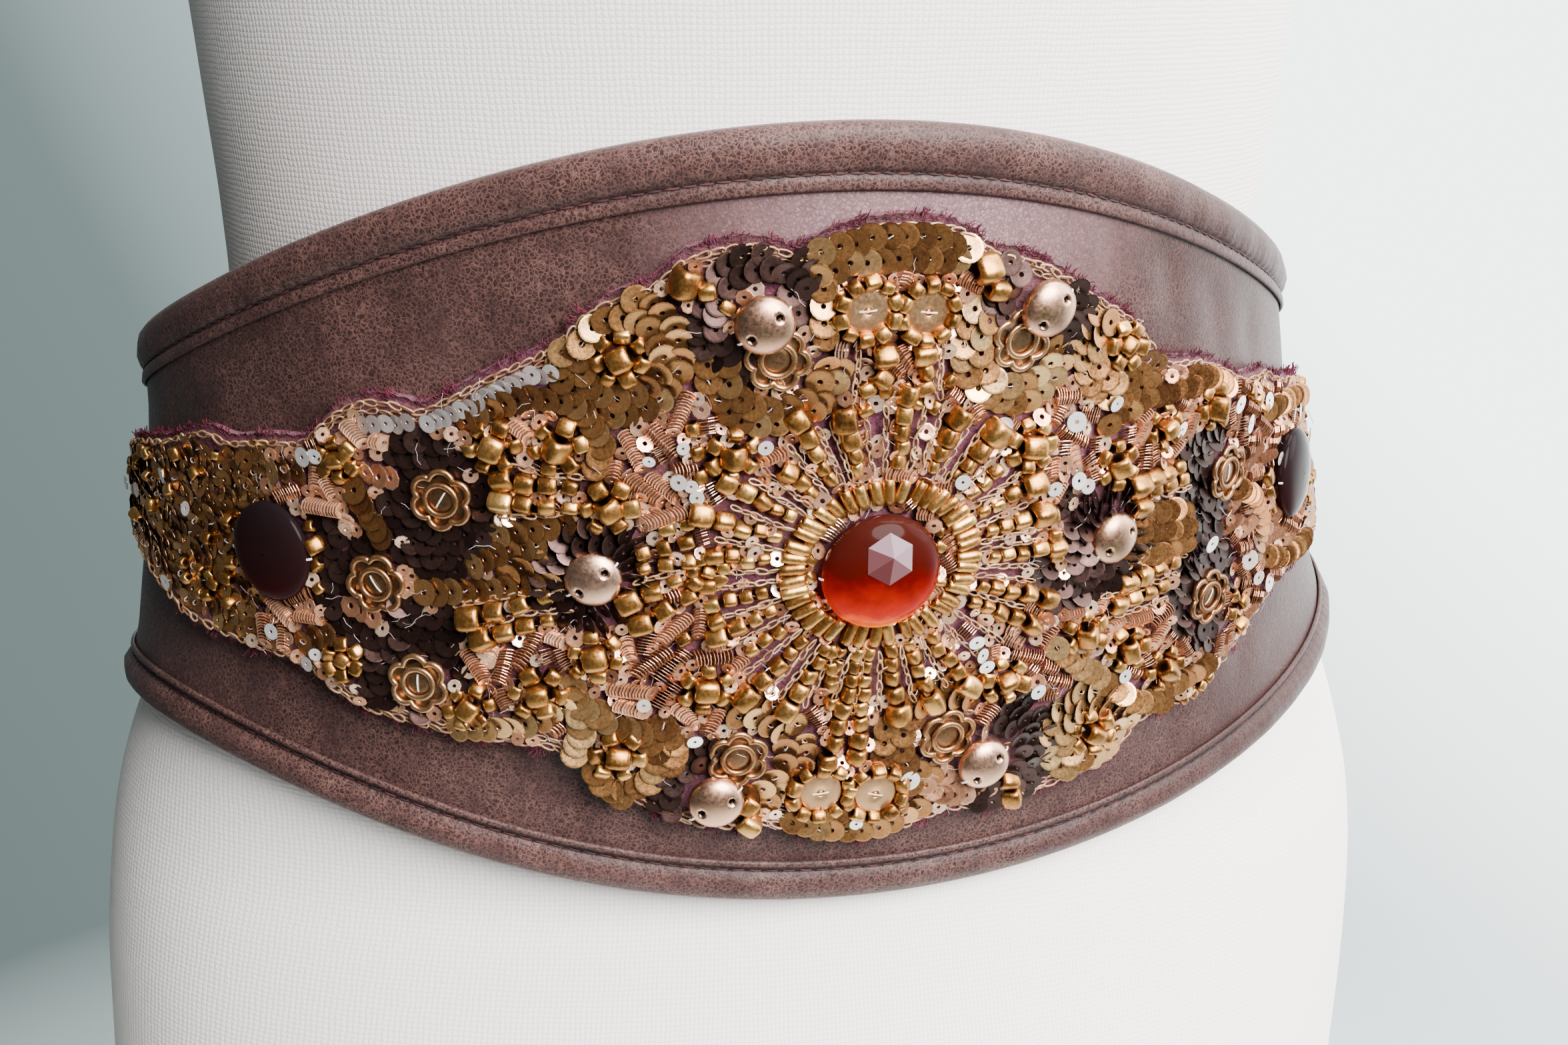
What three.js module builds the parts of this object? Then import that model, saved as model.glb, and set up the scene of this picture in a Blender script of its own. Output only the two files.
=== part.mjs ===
// A sequinned leather cinch belt, worn on a limbless dress form.
// Millimetres. The origin is the centre of the base's underside, the front faces -Y, +X is to the viewer's
// right and +Z is up. The belt's own heights are measured from the middle of its centre stone.
import * as THREE from "three";

// Where the belt sits in the part
const STONE_LEVEL = 230;
const HIP_SETBACK = 11.5;
const GAP = 0.3;

// The belt's outer face: an ellipse in plan, pinched at the waist, that narrows upwards and leans forward
const BELT = {
  halfWidth: 129.3,
  taper: 0.235,
  pinch: 0.0012,
  halfDepth: 95.1,
  lean: 0.224,
  left: 7.5,
  shift: 1.9,
  tilt: 0.14,
};
// Heights of the belt's edges: a mean, and waves of the angle from the front
const TOP_EDGE = { mean: 47.8, cos: [24.3, 9.7, 1], sin: [0.8, -3.6] };
const BOTTOM_EDGE = { mean: -45.7, cos: [-15.1, -6.7, -4.8], sin: [2.8, -5.2] };
const PANEL_WALL = 2;
const PANEL_STEPS = 76;
const PANEL_ROWS = 4;
const LAP_ANGLE = 12;
const LAP_RAMP = { from: 146, to: 170 };

// The rolled bindings: a folded strip over each edge of the panel
const BINDING = { wall: 1, topLeg: 11.3, bottomLeg: 9.3, innerLeg: 6, bridge: 1.5, round: 0.9 };
const BINDING_OUT = GAP + BINDING.wall;
const BINDING_IN = -PANEL_WALL - GAP - BINDING.wall;
const LAP_RISE = BINDING_OUT - BINDING_IN + GAP;

// The applique: felt base, the pile of sequins on it, and the raised beads
const FELT = 2;
const PILE = 1.2;
const RIM = 3.5;
const SUNBURST_HEIGHT = 3.3;
const RAYS = 24;
const RAY_STEPS = 4;
const RAY = { from: 21, to: 47, height: 1.4, clearance: 15 };
const BUGLE_RING = { from: 13, to: 19, height: 1 };
const CENTRE_HALF_WIDTH = 37;
const MOUNT_REACH = 11;
const SIDE_RING = { from: 14, to: 19, height: 1 };
const WING_STEP = 3.7;
const WING_ROWS = 9;
const INNER_ROWS = 3;
const APPLIQUE_GAP = 0.4;

// The applique's outline: heights on each side against distance from the centre along the belt
const TOP_OUTLINE = [
  { along: 0, left: 67.3, right: 67.3 },
  { along: 8, left: 66.8, right: 66.5 },
  { along: 13, left: 65.8, right: 64 },
  { along: 17.5, left: 64, right: 61 },
  { along: 21, left: 62.3, right: 60.6 },
  { along: 28, left: 64.3, right: 58.8 },
  { along: 35, left: 63.6, right: 55.4 },
  { along: 41, left: 61.6, right: 51.8 },
  { along: 45.5, left: 57.2, right: 49.8 },
  { along: 49, left: 55.8, right: 48 },
  { along: 54, left: 54.2, right: 44.9 },
  { along: 59, left: 50.2, right: 39.5 },
  { along: 62, left: 46.2, right: 36.7 },
  { along: 67, left: 43.7, right: 36.3 },
  { along: 72, left: 41.3, right: 35.9 },
  { along: 79, left: 37.2, right: 34.2 },
  { along: 86, left: 33.5, right: 31.2 },
  { along: 91, left: 34.6, right: 29 },
  { along: 96, left: 34.9, right: 28.9 },
  { along: 102, left: 33, right: 29.2 },
  { along: 106, left: 29, right: 27.5 },
  { along: 110, left: 25.3, right: 25.8 },
  { along: 118, left: 25, right: 24.8 },
  { along: 128, left: 23.3, right: 22.6 },
  { along: 134, left: 24.6, right: 22 },
  { along: 140, left: 23.2, right: 19.5 },
  { along: 150, left: 20, right: 17.8 },
  { along: 160, left: 18.2, right: 16.4 },
  { along: 172, left: 15.5, right: 14.5 },
  { along: 182, left: 12, right: 11.5 },
  { along: 188, left: 8, right: 7.5 },
  { along: 191, left: 4, right: 4 },
];
const BOTTOM_OUTLINE = [
  { along: 0, left: -57, right: -57 },
  { along: 6, left: -55.8, right: -56.7 },
  { along: 12.5, left: -53, right: -54.4 },
  { along: 17, left: -51.5, right: -53.2 },
  { along: 24, left: -51.8, right: -54 },
  { along: 31, left: -50.1, right: -53.2 },
  { along: 38, left: -46.2, right: -51.6 },
  { along: 45, left: -41.6, right: -50.4 },
  { along: 50, left: -36.6, right: -49.2 },
  { along: 55, left: -33.8, right: -43 },
  { along: 58, left: -33.2, right: -40.8 },
  { along: 65, left: -32.2, right: -40.4 },
  { along: 73, left: -31.4, right: -38 },
  { along: 80, left: -30, right: -33.4 },
  { along: 86, left: -28.8, right: -29 },
  { along: 92, left: -27.4, right: -24.6 },
  { along: 98.5, left: -24.6, right: -21 },
  { along: 104, left: -20.6, right: -19.2 },
  { along: 110, left: -19.1, right: -18 },
  { along: 120, left: -17.9, right: -16.6 },
  { along: 130, left: -16.6, right: -15.2 },
  { along: 137, left: -15.8, right: -13.5 },
  { along: 145, left: -13.2, right: -11 },
  { along: 155, left: -9.6, right: -8 },
  { along: 166, left: -5.5, right: -5 },
  { along: 176, left: -2, right: -2 },
  { along: 185, left: 1, right: 1 },
  { along: 191, left: 3.5, right: 3.5 },
];

// What is sewn on, by distance from the centre along the belt and height
const STONE_FACETS = 12;
const STONES = [
  { name: "stone_centre", along: -0.8, height: 2.6, radius: 11.3, girdle: 2.4, table: 6.2, rise: 6.4, wide: 1 },
  { name: "stone_left", along: -114.2, height: 3.6, radius: 9.7, girdle: 1.5, table: 5.5, rise: 3.6, wide: 0.9 },
  { name: "stone_right", along: 110.8, height: 4.2, radius: 9.7, girdle: 1.5, table: 5.5, rise: 3.6, wide: 0.9 },
];
const DOME = { radius: 5.3, height: 3.4, lip: 0.5, sides: 12, rings: 3 };
const DOMES = [
  { name: "dome_upper_left", along: -26.3, height: 50.6, overCap: true },
  { name: "dome_upper_right", along: 28.2, height: 51, overCap: true },
  { name: "dome_middle_left", along: -52.3, height: 2.7, overCap: false },
  { name: "dome_middle_right", along: 49, height: 2.6, overCap: false },
  { name: "dome_lower_left", along: -26.2, height: -43.5, overCap: true },
  { name: "dome_lower_right", along: 22, height: -41.3, overCap: true },
];
const CAP = { lobes: 6, radius: 5.6, wave: 0.7, height: 1.3, ring: 3.2, dish: 0.5 };
const FLOWER_CAPS = [
  { name: "flower_cap_upper_left", along: -23.2, height: 43.5 },
  { name: "flower_cap_upper_right", along: 24.1, height: 44.7 },
  { name: "flower_cap_lower_left", along: -22.9, height: -35.6 },
  { name: "flower_cap_lower_right", along: 15.4, height: -35.2 },
  { name: "flower_cap_wing_left", along: -81, height: 16.8 },
  { name: "flower_cap_wing_right", along: 82.3, height: 10.4 },
  { name: "flower_cap_side_left", along: -92.2, height: -0.6 },
  { name: "flower_cap_hem_left", along: -82, height: -20 },
  { name: "flower_cap_hem_right", along: 75.5, height: -16 },
];
const COIN = { radius: 4.2, height: 0.8, sides: 12 };
const COINS = [
  { name: "coin_upper_left", along: -7.5, height: 52 },
  { name: "coin_upper_right", along: 4, height: 51.3 },
  { name: "coin_lower_left", along: -7.5, height: -44.2 },
  { name: "coin_lower_right", along: 2.5, height: -45.8 },
];
const SNAP = { radius: 5.5, height: 2.4, studRadius: 4.5, studHeight: 2.2, sides: 18 };
const SNAP_HEIGHTS = [-14.6, -1.2, 12.2];

// The dress form by level above the centre stone: half width, middle, front and back
const FORM_SIDES = 40;
const FORM_LEVELS = [
  { level: -217.7, half: 145, middle: 0, front: -92, back: 115 },
  { level: -190, half: 148.6, middle: -0.8, front: -91, back: 117 },
  { level: -150, half: 151.2, middle: 0.3, front: -89, back: 117 },
  { level: -125, half: 152.4, middle: 1.8, front: -86, back: 116 },
  { level: -100, half: 152.6, middle: 2.8, front: -81, back: 112.5 },
  { level: -85, half: 151.2, middle: 3, front: -77.5, back: 109.5 },
  { level: -73, half: 149, middle: 2.6, front: -74.2, back: 106.5 },
  { level: -60, half: 145, middle: 1.6, front: -74.5, back: 103.5 },
  { level: -50, half: 140.6, middle: 0.4, front: -77, back: 101 },
  { level: -40, half: 135.4, middle: -0.7, front: -80.5, back: 98.5 },
  { level: -30, half: 132, middle: -1.8, front: -82.5, back: 96 },
  { level: -12, half: 125.8, middle: -2.4, front: -85.5, back: 91.5 },
  { level: 8, half: 118.8, middle: -3.2, front: -88, back: 87 },
  { level: 28, half: 113.2, middle: -4.4, front: -90, back: 82 },
  { level: 42, half: 110.8, middle: -4.9, front: -92, back: 79.5 },
  { level: 60, half: 111.4, middle: -5, front: -95, back: 77.5 },
  { level: 83, half: 113.6, middle: -4.9, front: -98.5, back: 78.5 },
  { level: 110, half: 116.3, middle: -4.8, front: -103, back: 82 },
  { level: 140, half: 119.8, middle: -4.8, front: -107, back: 87 },
  { level: 170, half: 125.4, middle: -4.8, front: -109, back: 92 },
  { level: 200, half: 133.5, middle: -4.8, front: -109, back: 96.5 },
  { level: 230, half: 141.5, middle: -4.8, front: -106, back: 99.5 },
  { level: 260, half: 147.5, middle: -4.8, front: -99, back: 100 },
  { level: 290, half: 151, middle: -4.8, front: -88.5, back: 98 },
  { level: 320, half: 152, middle: -4.8, front: -75.5, back: 92 },
  { level: 343, half: 149, middle: -4.8, front: -64, back: 85 },
  { level: 361, half: 139, middle: -4.8, front: -55, back: 77 },
  { level: 376, half: 121, middle: -4.8, front: -49.5, back: 70.5 },
  { level: 388, half: 98, middle: -4.8, front: -46.5, back: 65 },
  { level: 399, half: 76, middle: -4.8, front: -44.5, back: 59.5 },
  { level: 412, half: 60.5, middle: -4.8, front: -43, back: 54.5 },
  { level: 430, half: 53, middle: -4.8, front: -42, back: 51.5 },
  { level: 455, half: 52, middle: -4.8, front: -42, back: 50.5 },
];
const BUST = { level: 190, side: 56, spread: 56, forward: 13 };
const NECK_CAP = { rim: 3, height: 12, inset: 7 };
const BASE = { height: 12, inset: 4 };

const LEATHER = new THREE.MeshStandardMaterial({ color: "#6f5a56", roughness: 0.55, metalness: 0 });
const FELT_CLOTH = new THREE.MeshStandardMaterial({ color: "#8a5a34", roughness: 0.6, metalness: 0.3 });
const BRONZE = new THREE.MeshStandardMaterial({ color: "#a9825f", roughness: 0.35, metalness: 1 });
const COPPER = new THREE.MeshStandardMaterial({ color: "#a8683f", roughness: 0.4, metalness: 1 });
const CHAMPAGNE = new THREE.MeshStandardMaterial({ color: "#d8b79a", roughness: 0.35, metalness: 1 });
const LINEN = new THREE.MeshStandardMaterial({ color: "#d9d2c4", roughness: 0.9, metalness: 0 });
const WOOD = new THREE.MeshStandardMaterial({ color: "#9a7348", roughness: 0.5, metalness: 0 });
const AMBER = new THREE.MeshStandardMaterial({ color: "#a8451c", roughness: 0.08, metalness: 0 });
const GARNET = new THREE.MeshStandardMaterial({ color: "#3d0f0d", roughness: 0.08, metalness: 0 });

const DEGREE = Math.PI / 180;

// Small helpers

function smoothStep(from, to, value) {
  const t = Math.min(Math.max((value - from) / (to - from), 0), 1);
  return t * t * (3 - 2 * t);
}

// The value in a table's column where its key column reaches a place.
function readTable(rows, key, column, place) {
  let next = rows.findIndex((row) => row[key] >= place);
  if (next < 0) next = rows.length - 1;
  if (next === 0) return rows[0][column];
  const low = rows[next - 1];
  const high = rows[next];
  const share = (Math.min(place, high[key]) - low[key]) / (high[key] - low[key]);
  return low[column] + (high[column] - low[column]) * share;
}

// A mesh from points and triangles, flat shaded where the faces are facets.
function meshOf(name, points, triangles, material) {
  const geometry = new THREE.BufferGeometry();
  geometry.setAttribute("position", new THREE.Float32BufferAttribute(points.flatMap((p) => p.toArray()), 3));
  geometry.setIndex(triangles);
  geometry.computeVertexNormals();
  const mesh = new THREE.Mesh(geometry, material);
  mesh.name = name;
  return mesh;
}

// Two triangles for the quad a b c d, listed anticlockwise as seen from outside.
function quad(a, b, c, d) {
  return [a, b, c, a, c, d];
}

// A solid through closed rings of equally many points, closed by a fan at each end.
function loftRings(name, rings, material) {
  const sides = rings[0].length;
  const points = rings.flat();
  const triangles = [];
  for (let ring = 0; ring + 1 < rings.length; ring++) {
    for (let i = 0; i < sides; i++) {
      const j = (i + 1) % sides;
      const low = ring * sides;
      triangles.push(...quad(low + i, low + j, low + sides + j, low + sides + i));
    }
  }
  [0, rings.length - 1].forEach((ring, end) => {
    const middle = new THREE.Vector3();
    rings[ring].forEach((p) => middle.addScaledVector(p, 1 / sides));
    points.push(middle);
    for (let i = 0; i < sides; i++) {
      const a = ring * sides + i;
      const b = ring * sides + ((i + 1) % sides);
      triangles.push(points.length - 1, ...(end ? [a, b] : [b, a]));
    }
  });
  return meshOf(name, points, triangles, material);
}

// A wall between two faces, each a list of columns of points from the bottom up. The columns run to the
// viewer's right, and the faces share their first and last rows and columns.
function wallOf(name, outer, inner, material) {
  const points = [];
  const number = (face) => face.map((column) => column.map((p) => points.push(p) - 1));
  const front = number(outer);
  const back = number(inner);
  const triangles = [];
  for (let c = 0; c + 1 < front.length; c++) {
    const next = c + 1;
    for (let r = 0; r + 1 < front[c].length; r++) {
      triangles.push(...quad(front[c][r], front[next][r], front[next][r + 1], front[c][r + 1]));
    }
    for (let r = 0; r + 1 < back[c].length; r++) {
      triangles.push(...quad(back[c][r], back[c][r + 1], back[next][r + 1], back[next][r]));
    }
    triangles.push(...quad(back[c][0], back[next][0], front[next][0], front[c][0]));
    triangles.push(...quad(front[c].at(-1), front[next].at(-1), back[next].at(-1), back[c].at(-1)));
  }
  [0, front.length - 1].forEach((c, end) => {
    const rim = [...front[c], ...back[c].slice().reverse()];
    const contour = rim.map((_, i) => new THREE.Vector2(i < front[c].length ? 1 : 0, rimHeight(points, rim, i)));
    THREE.ShapeUtils.triangulateShape(contour, []).forEach(([i, j, k]) => {
      triangles.push(...(end ? [rim[i], rim[k], rim[j]] : [rim[i], rim[j], rim[k]]));
    });
  });
  return meshOf(name, points, triangles, material);
}

function rimHeight(points, rim, i) {
  return points[rim[i]].z;
}

// The belt's face

function lapRise(angle) {
  return LAP_RISE * smoothStep(LAP_RAMP.from, LAP_RAMP.to, angle);
}

// A point of the belt by its angle from the front, its height, and how far it stands out of the panel's face.
function beltPoint(angle, height, out) {
  const sin = Math.sin(angle * DEGREE);
  const cos = Math.cos(angle * DEGREE);
  const half = BELT.halfWidth - BELT.taper * height + BELT.pinch * height * height;
  const shift = BELT.shift - BELT.tilt * height;
  const point = new THREE.Vector3(
    half * sin + shift * sin * sin - BELT.left,
    -BELT.lean * height - BELT.halfDepth * cos,
    height,
  );
  const run = half * cos + 2 * shift * sin * cos;
  const slope = (BELT.taper - 2 * BELT.pinch * height) * sin + BELT.tilt * sin * sin;
  const rise = BELT.halfDepth * sin * slope - BELT.lean * run;
  const normal = new THREE.Vector3(BELT.halfDepth * sin, -run, rise).normalize();
  return point.addScaledVector(normal, out + lapRise(angle));
}

function edgeHeight({ mean, cos, sin }, angle) {
  const waves = (sizes, wave) => sizes.reduce((sum, size, n) => sum + size * wave((n + 1) * angle * DEGREE), 0);
  return mean + waves(cos, Math.cos) + waves(sin, Math.sin);
}

function topEdge(angle) {
  return edgeHeight(TOP_EDGE, angle);
}

function bottomEdge(angle) {
  return edgeHeight(BOTTOM_EDGE, angle);
}

// Angles against distance along the belt at the stone's level, every half degree.
const ARC_STEP = 0.5;
const ARC = [{ along: 0, angle: 0 }];
for (let angle = ARC_STEP; angle <= 180; angle += ARC_STEP) {
  const middle = (angle - ARC_STEP / 2) * DEGREE;
  const speed = Math.hypot(BELT.halfWidth * Math.cos(middle), BELT.halfDepth * Math.sin(middle));
  ARC.push({ along: ARC.at(-1).along + speed * ARC_STEP * DEGREE, angle });
}

function angleAlong(along) {
  return Math.sign(along) * readTable(ARC, "along", "angle", Math.abs(along));
}

// Leather

function panelAngles() {
  const reach = 180 + LAP_ANGLE / 2;
  return Array.from({ length: PANEL_STEPS + 1 }, (_, i) => -reach + (2 * reach * i) / PANEL_STEPS);
}

function makePanel() {
  const inset = BINDING.bridge + GAP;
  const face = (out) =>
    panelAngles().map((angle) => {
      const low = bottomEdge(angle) + inset;
      const high = topEdge(angle) - inset;
      return Array.from({ length: PANEL_ROWS + 1 }, (_, r) =>
        beltPoint(angle, low + ((high - low) * r) / PANEL_ROWS, out),
      );
    });
  return wallOf("belt_panel", face(0), face(-PANEL_WALL), LEATHER);
}

// The folded strip's section as [out, distance in from the edge], anticlockwise when the edge is at the top.
function bindingSection(outerLeg) {
  const { wall, innerLeg, bridge, round } = BINDING;
  return [
    [BINDING_OUT, outerLeg],
    [BINDING_OUT, round],
    [BINDING_OUT - round, 0],
    [BINDING_IN + round, 0],
    [BINDING_IN, round],
    [BINDING_IN, innerLeg],
    [BINDING_IN + wall, innerLeg],
    [BINDING_IN + wall, bridge],
    [BINDING_OUT - wall, bridge],
    [BINDING_OUT - wall, outerLeg],
  ];
}

function makeBinding(name, edge, inward, outerLeg) {
  const section = bindingSection(outerLeg);
  if (inward > 0) section.reverse();
  const sides = section.length;
  const points = [];
  const triangles = [];
  const angles = panelAngles();
  angles.forEach((angle) => {
    section.forEach(([out, depth]) => points.push(beltPoint(angle, edge(angle) + inward * depth, out)));
  });
  for (let step = 0; step + 1 < angles.length; step++) {
    for (let i = 0; i < sides; i++) {
      const j = (i + 1) % sides;
      const here = step * sides;
      triangles.push(...quad(here + i, here + sides + i, here + sides + j, here + j));
    }
  }
  const contour = section.map(([out, depth]) => new THREE.Vector2(out, inward * depth));
  const last = (angles.length - 1) * sides;
  THREE.ShapeUtils.triangulateShape(contour, []).forEach(([i, j, k]) => {
    triangles.push(i, j, k);
    triangles.push(last + i, last + k, last + j);
  });
  return meshOf(name, points, triangles, LEATHER);
}

// Applique

function outlineTop(along) {
  return readTable(TOP_OUTLINE, "along", along < 0 ? "left" : "right", Math.abs(along));
}

function outlineBottom(along) {
  return readTable(BOTTOM_OUTLINE, "along", along < 0 ? "left" : "right", Math.abs(along));
}

// Height of the raised work over the felt, by place and by distance in from the outline.
function raised(along, height, inFromRim) {
  const pile = PILE * smoothStep(0, RIM, inFromRim);
  const radius = Math.hypot(along, height - SUNBURST_HEIGHT);
  const band = (r, { from, to, height: rise }) =>
    rise * smoothStep(from - 1, from + 1, r) * (1 - smoothStep(to - 1, to + 1, r));
  const beside = STONES.slice(1).map((s) => band(Math.hypot(along - s.along, height - s.height), SIDE_RING));
  const free = smoothStep(MOUNT_REACH, MOUNT_REACH + 3, nearestMount(along, height));
  return pile + band(radius, BUGLE_RING) * smoothStep(0, RIM, inFromRim) + Math.max(...beside) * free;
}

function appliquePoint(along, height, out) {
  return beltPoint(angleAlong(along), height, APPLIQUE_GAP + out);
}

// Distance to the nearest dome, flower cap or coin.
function nearestMount(along, height) {
  const places = [...DOMES, ...FLOWER_CAPS, ...COINS];
  return Math.min(...places.map((place) => Math.hypot(along - place.along, height - place.height)));
}

// Distance from the centre to the centre piece's outline in a direction.
function centreReach(direction) {
  const inside = (r) => {
    const along = r * Math.cos(direction);
    const height = SUNBURST_HEIGHT + r * Math.sin(direction);
    if (Math.abs(along) > CENTRE_HALF_WIDTH) return false;
    return height < outlineTop(along) && height > outlineBottom(along);
  };
  let reach = 30;
  while (inside(reach + 0.1)) reach += 0.1;
  return reach;
}

// The centre piece is laid out in rings about the stone, so that its raised rays run outward.
function makeCentreApplique() {
  const sides = RAYS * RAY_STEPS;
  const fixed = [11.8, 13.8, 18.2, 20.2];
  const shares = [0.25, 0.5, 0.75];
  const points = [];
  const triangles = [];
  const ringAt = (radiusOf, outOf) => {
    const start = points.length;
    for (let i = 0; i < sides; i++) {
      const direction = (2 * Math.PI * i) / sides;
      const reach = centreReach(direction);
      const radius = radiusOf(reach);
      const along = radius * Math.cos(direction);
      const height = SUNBURST_HEIGHT + radius * Math.sin(direction);
      points.push(appliquePoint(along, height, outOf(along, height, radius, reach, i)));
    }
    return start;
  };
  const outerOut = (along, height, radius, reach, i) => {
    const within = i % RAY_STEPS === 0 && radius > RAY.from && radius < Math.min(RAY.to, reach - RIM);
    const onRay = within && nearestMount(along, height) > RAY.clearance;
    return FELT + raised(along, height, reach - radius) + (onRay ? RAY.height : 0);
  };
  const rimStart = fixed.at(-1);
  const radii = [
    ...fixed.map((r) => () => r),
    ...shares.map((s) => (reach) => rimStart + (reach - RIM - rimStart) * s),
    (reach) => reach - RIM,
    (reach) => reach,
  ];
  const outer = radii.map((radiusOf) => ringAt(radiusOf, outerOut));
  const flat = [
    () => fixed[0],
    () => rimStart,
    (reach) => rimStart + (reach - rimStart) / 2,
    (reach) => reach,
  ];
  const inner = flat.map((radiusOf) => ringAt(radiusOf, () => 0));
  const join = (from, to) => {
    for (let i = 0; i < sides; i++) {
      const j = (i + 1) % sides;
      triangles.push(...quad(from + i, to + i, to + j, from + j));
    }
  };
  outer.slice(1).forEach((ring, n) => join(outer[n], ring));
  join(outer.at(-1), inner.at(-1));
  inner.slice(1).forEach((ring, n) => join(ring, inner[n]));
  const frontMiddle = points.push(appliquePoint(0, SUNBURST_HEIGHT, FELT + PILE)) - 1;
  const backMiddle = points.push(appliquePoint(0, SUNBURST_HEIGHT, 0)) - 1;
  for (let i = 0; i < sides; i++) {
    const j = (i + 1) % sides;
    triangles.push(frontMiddle, outer[0] + i, outer[0] + j);
    triangles.push(backMiddle, inner[0] + j, inner[0] + i);
  }
  return meshOf("applique_centre", points, triangles, FELT_CLOTH);
}

function makeWingApplique(name, side) {
  const near = CENTRE_HALF_WIDTH + GAP;
  const far = TOP_OUTLINE.at(-1).along - 0.6;
  const steps = Math.round((far - near) / WING_STEP);
  const places = Array.from({ length: steps + 1 }, (_, i) => side * (near + ((far - near) * i) / steps));
  if (side < 0) places.reverse();
  const face = (rows, outOf) =>
    places.map((along) => {
      const low = outlineBottom(along);
      const high = outlineTop(along);
      return Array.from({ length: rows + 1 }, (_, r) => {
        const height = low + ((high - low) * r) / rows;
        const inFromRim = Math.min(height - low, high - height, far - Math.abs(along));
        return appliquePoint(along, height, outOf(along, height, inFromRim));
      });
    });
  const outer = face(WING_ROWS, (along, height, inFromRim) => FELT + raised(along, height, inFromRim));
  return wallOf(name, outer, face(INNER_ROWS, () => 0), FELT_CLOTH);
}

// What is sewn on

// Places a piece whose own +Z is to point straight out of the belt.
function seat(mesh, angle, height, out) {
  const here = beltPoint(angle, height, out);
  const normal = beltPoint(angle, height, out + 1).sub(here).normalize();
  mesh.position.copy(here);
  mesh.quaternion.setFromUnitVectors(new THREE.Vector3(0, 0, 1), normal);
  return mesh;
}

function seatOnApplique(mesh, place, out) {
  return seat(mesh, angleAlong(place.along), place.height, APPLIQUE_GAP + FELT + PILE + GAP + out);
}

// A turned piece from its profile of [radius, height], which starts and ends on the axis.
function turned(name, profile, sides, material) {
  const geometry = new THREE.LatheGeometry(profile.map(([r, z]) => new THREE.Vector2(r, z)), sides);
  geometry.rotateX(Math.PI / 2);
  const mesh = new THREE.Mesh(geometry, material);
  mesh.name = name;
  return mesh;
}

function makeStone(stone) {
  const { name, radius, girdle, table, rise, wide } = stone;
  const profile = [[0, 0], [radius - 0.6, 0], [radius, girdle / 2], [radius, girdle], [table, rise], [0, rise]];
  const mesh = turned(name, profile, STONE_FACETS, name === "stone_centre" ? AMBER : GARNET);
  mesh.geometry.scale(wide, 1, 1);
  return seatOnApplique(mesh, stone, 0);
}

function makeDome(dome) {
  const { radius, height, lip, sides, rings } = DOME;
  const profile = [[0, 0]];
  for (let ring = 0; ring <= rings; ring++) {
    const turn = (Math.PI / 2) * (ring / rings);
    profile.push([radius * Math.cos(turn), lip + (height - lip) * Math.sin(turn)]);
  }
  profile.splice(1, 0, [radius, 0]);
  profile[profile.length - 1] = [0, height];
  return seatOnApplique(turned(dome.name, profile, sides, BRONZE), dome, dome.overCap ? CAP.height + GAP : 0);
}

function makeFlowerCap(cap) {
  const { lobes, radius, wave, height, ring, dish } = CAP;
  const sides = lobes * 3;
  const round = (r, swing, z) =>
    Array.from({ length: sides }, (_, i) => {
      const turn = (2 * Math.PI * i) / sides;
      const reach = r + swing * Math.cos(lobes * turn);
      return new THREE.Vector3(reach * Math.cos(turn), reach * Math.sin(turn), z);
    });
  const rings = [
    round(radius - 0.3, wave, 0),
    round(radius, wave, height * 0.5),
    round(radius - 0.9, wave, height),
    round(ring + 0.4, 0, height),
    round(ring - 0.5, 0, dish),
  ];
  return seatOnApplique(loftRings(cap.name, rings, COPPER), cap, 0);
}

function makeCoin(coin) {
  const profile = [[0, 0], [COIN.radius, 0], [COIN.radius, COIN.height], [0, COIN.height]];
  return seatOnApplique(turned(coin.name, profile, COIN.sides, CHAMPAGNE), coin, 0);
}

// A press snap through the lapped ends: the cap outside and the stud between the two layers.
function makeSnap(height, index) {
  const { radius, studRadius, studHeight, sides } = SNAP;
  const rim = SNAP.height;
  const cap = [[0, 0], [radius, 0], [radius, rim * 0.4], [radius * 0.8, rim * 0.85], [0, rim]];
  const stud = [[0, 0], [studRadius, 0], [studRadius, studHeight], [0, studHeight]];
  const outerEnd = 180 - LAP_ANGLE / 8;
  const underneath = -180 - LAP_ANGLE / 8;
  return [
    seat(turned("snap_cap_" + (index + 1), cap, sides, BRONZE), outerEnd, height, GAP),
    seat(turned("snap_stud_" + (index + 1), stud, sides, BRONZE), underneath, height, GAP),
  ];
}

// The dress form

function formRing({ level, half, middle, front, back }, shrink = 0) {
  const centre = (front + back) / 2;
  const depth = (back - front) / 2 - shrink;
  return Array.from({ length: FORM_SIDES }, (_, i) => {
    const turn = (2 * Math.PI * i) / FORM_SIDES;
    const x = (half - shrink) * Math.sin(turn);
    const facing = Math.max(Math.cos(turn), 0);
    const away = Math.hypot((Math.abs(x) - BUST.side) / BUST.spread, (level - BUST.level) / BUST.spread);
    const bust = BUST.forward * Math.exp(-away * away) * facing;
    return new THREE.Vector3(middle + x, centre - depth * Math.cos(turn) - bust, level);
  });
}

function makeTorso() {
  return loftRings("form_torso", FORM_LEVELS.map((row) => formRing(row)), LINEN);
}

function makeNeckCap() {
  const neck = FORM_LEVELS.at(-1);
  const at = (rise, shrink) => formRing({ ...neck, level: neck.level + GAP + rise }, shrink);
  const { rim, height, inset } = NECK_CAP;
  const rings = [at(0, 1.5), at(rim, 0.5), at(rim + (height - rim) * 0.6, inset * 0.5), at(height, inset * 2.5)];
  return loftRings("form_neck_cap", rings, WOOD);
}

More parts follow.
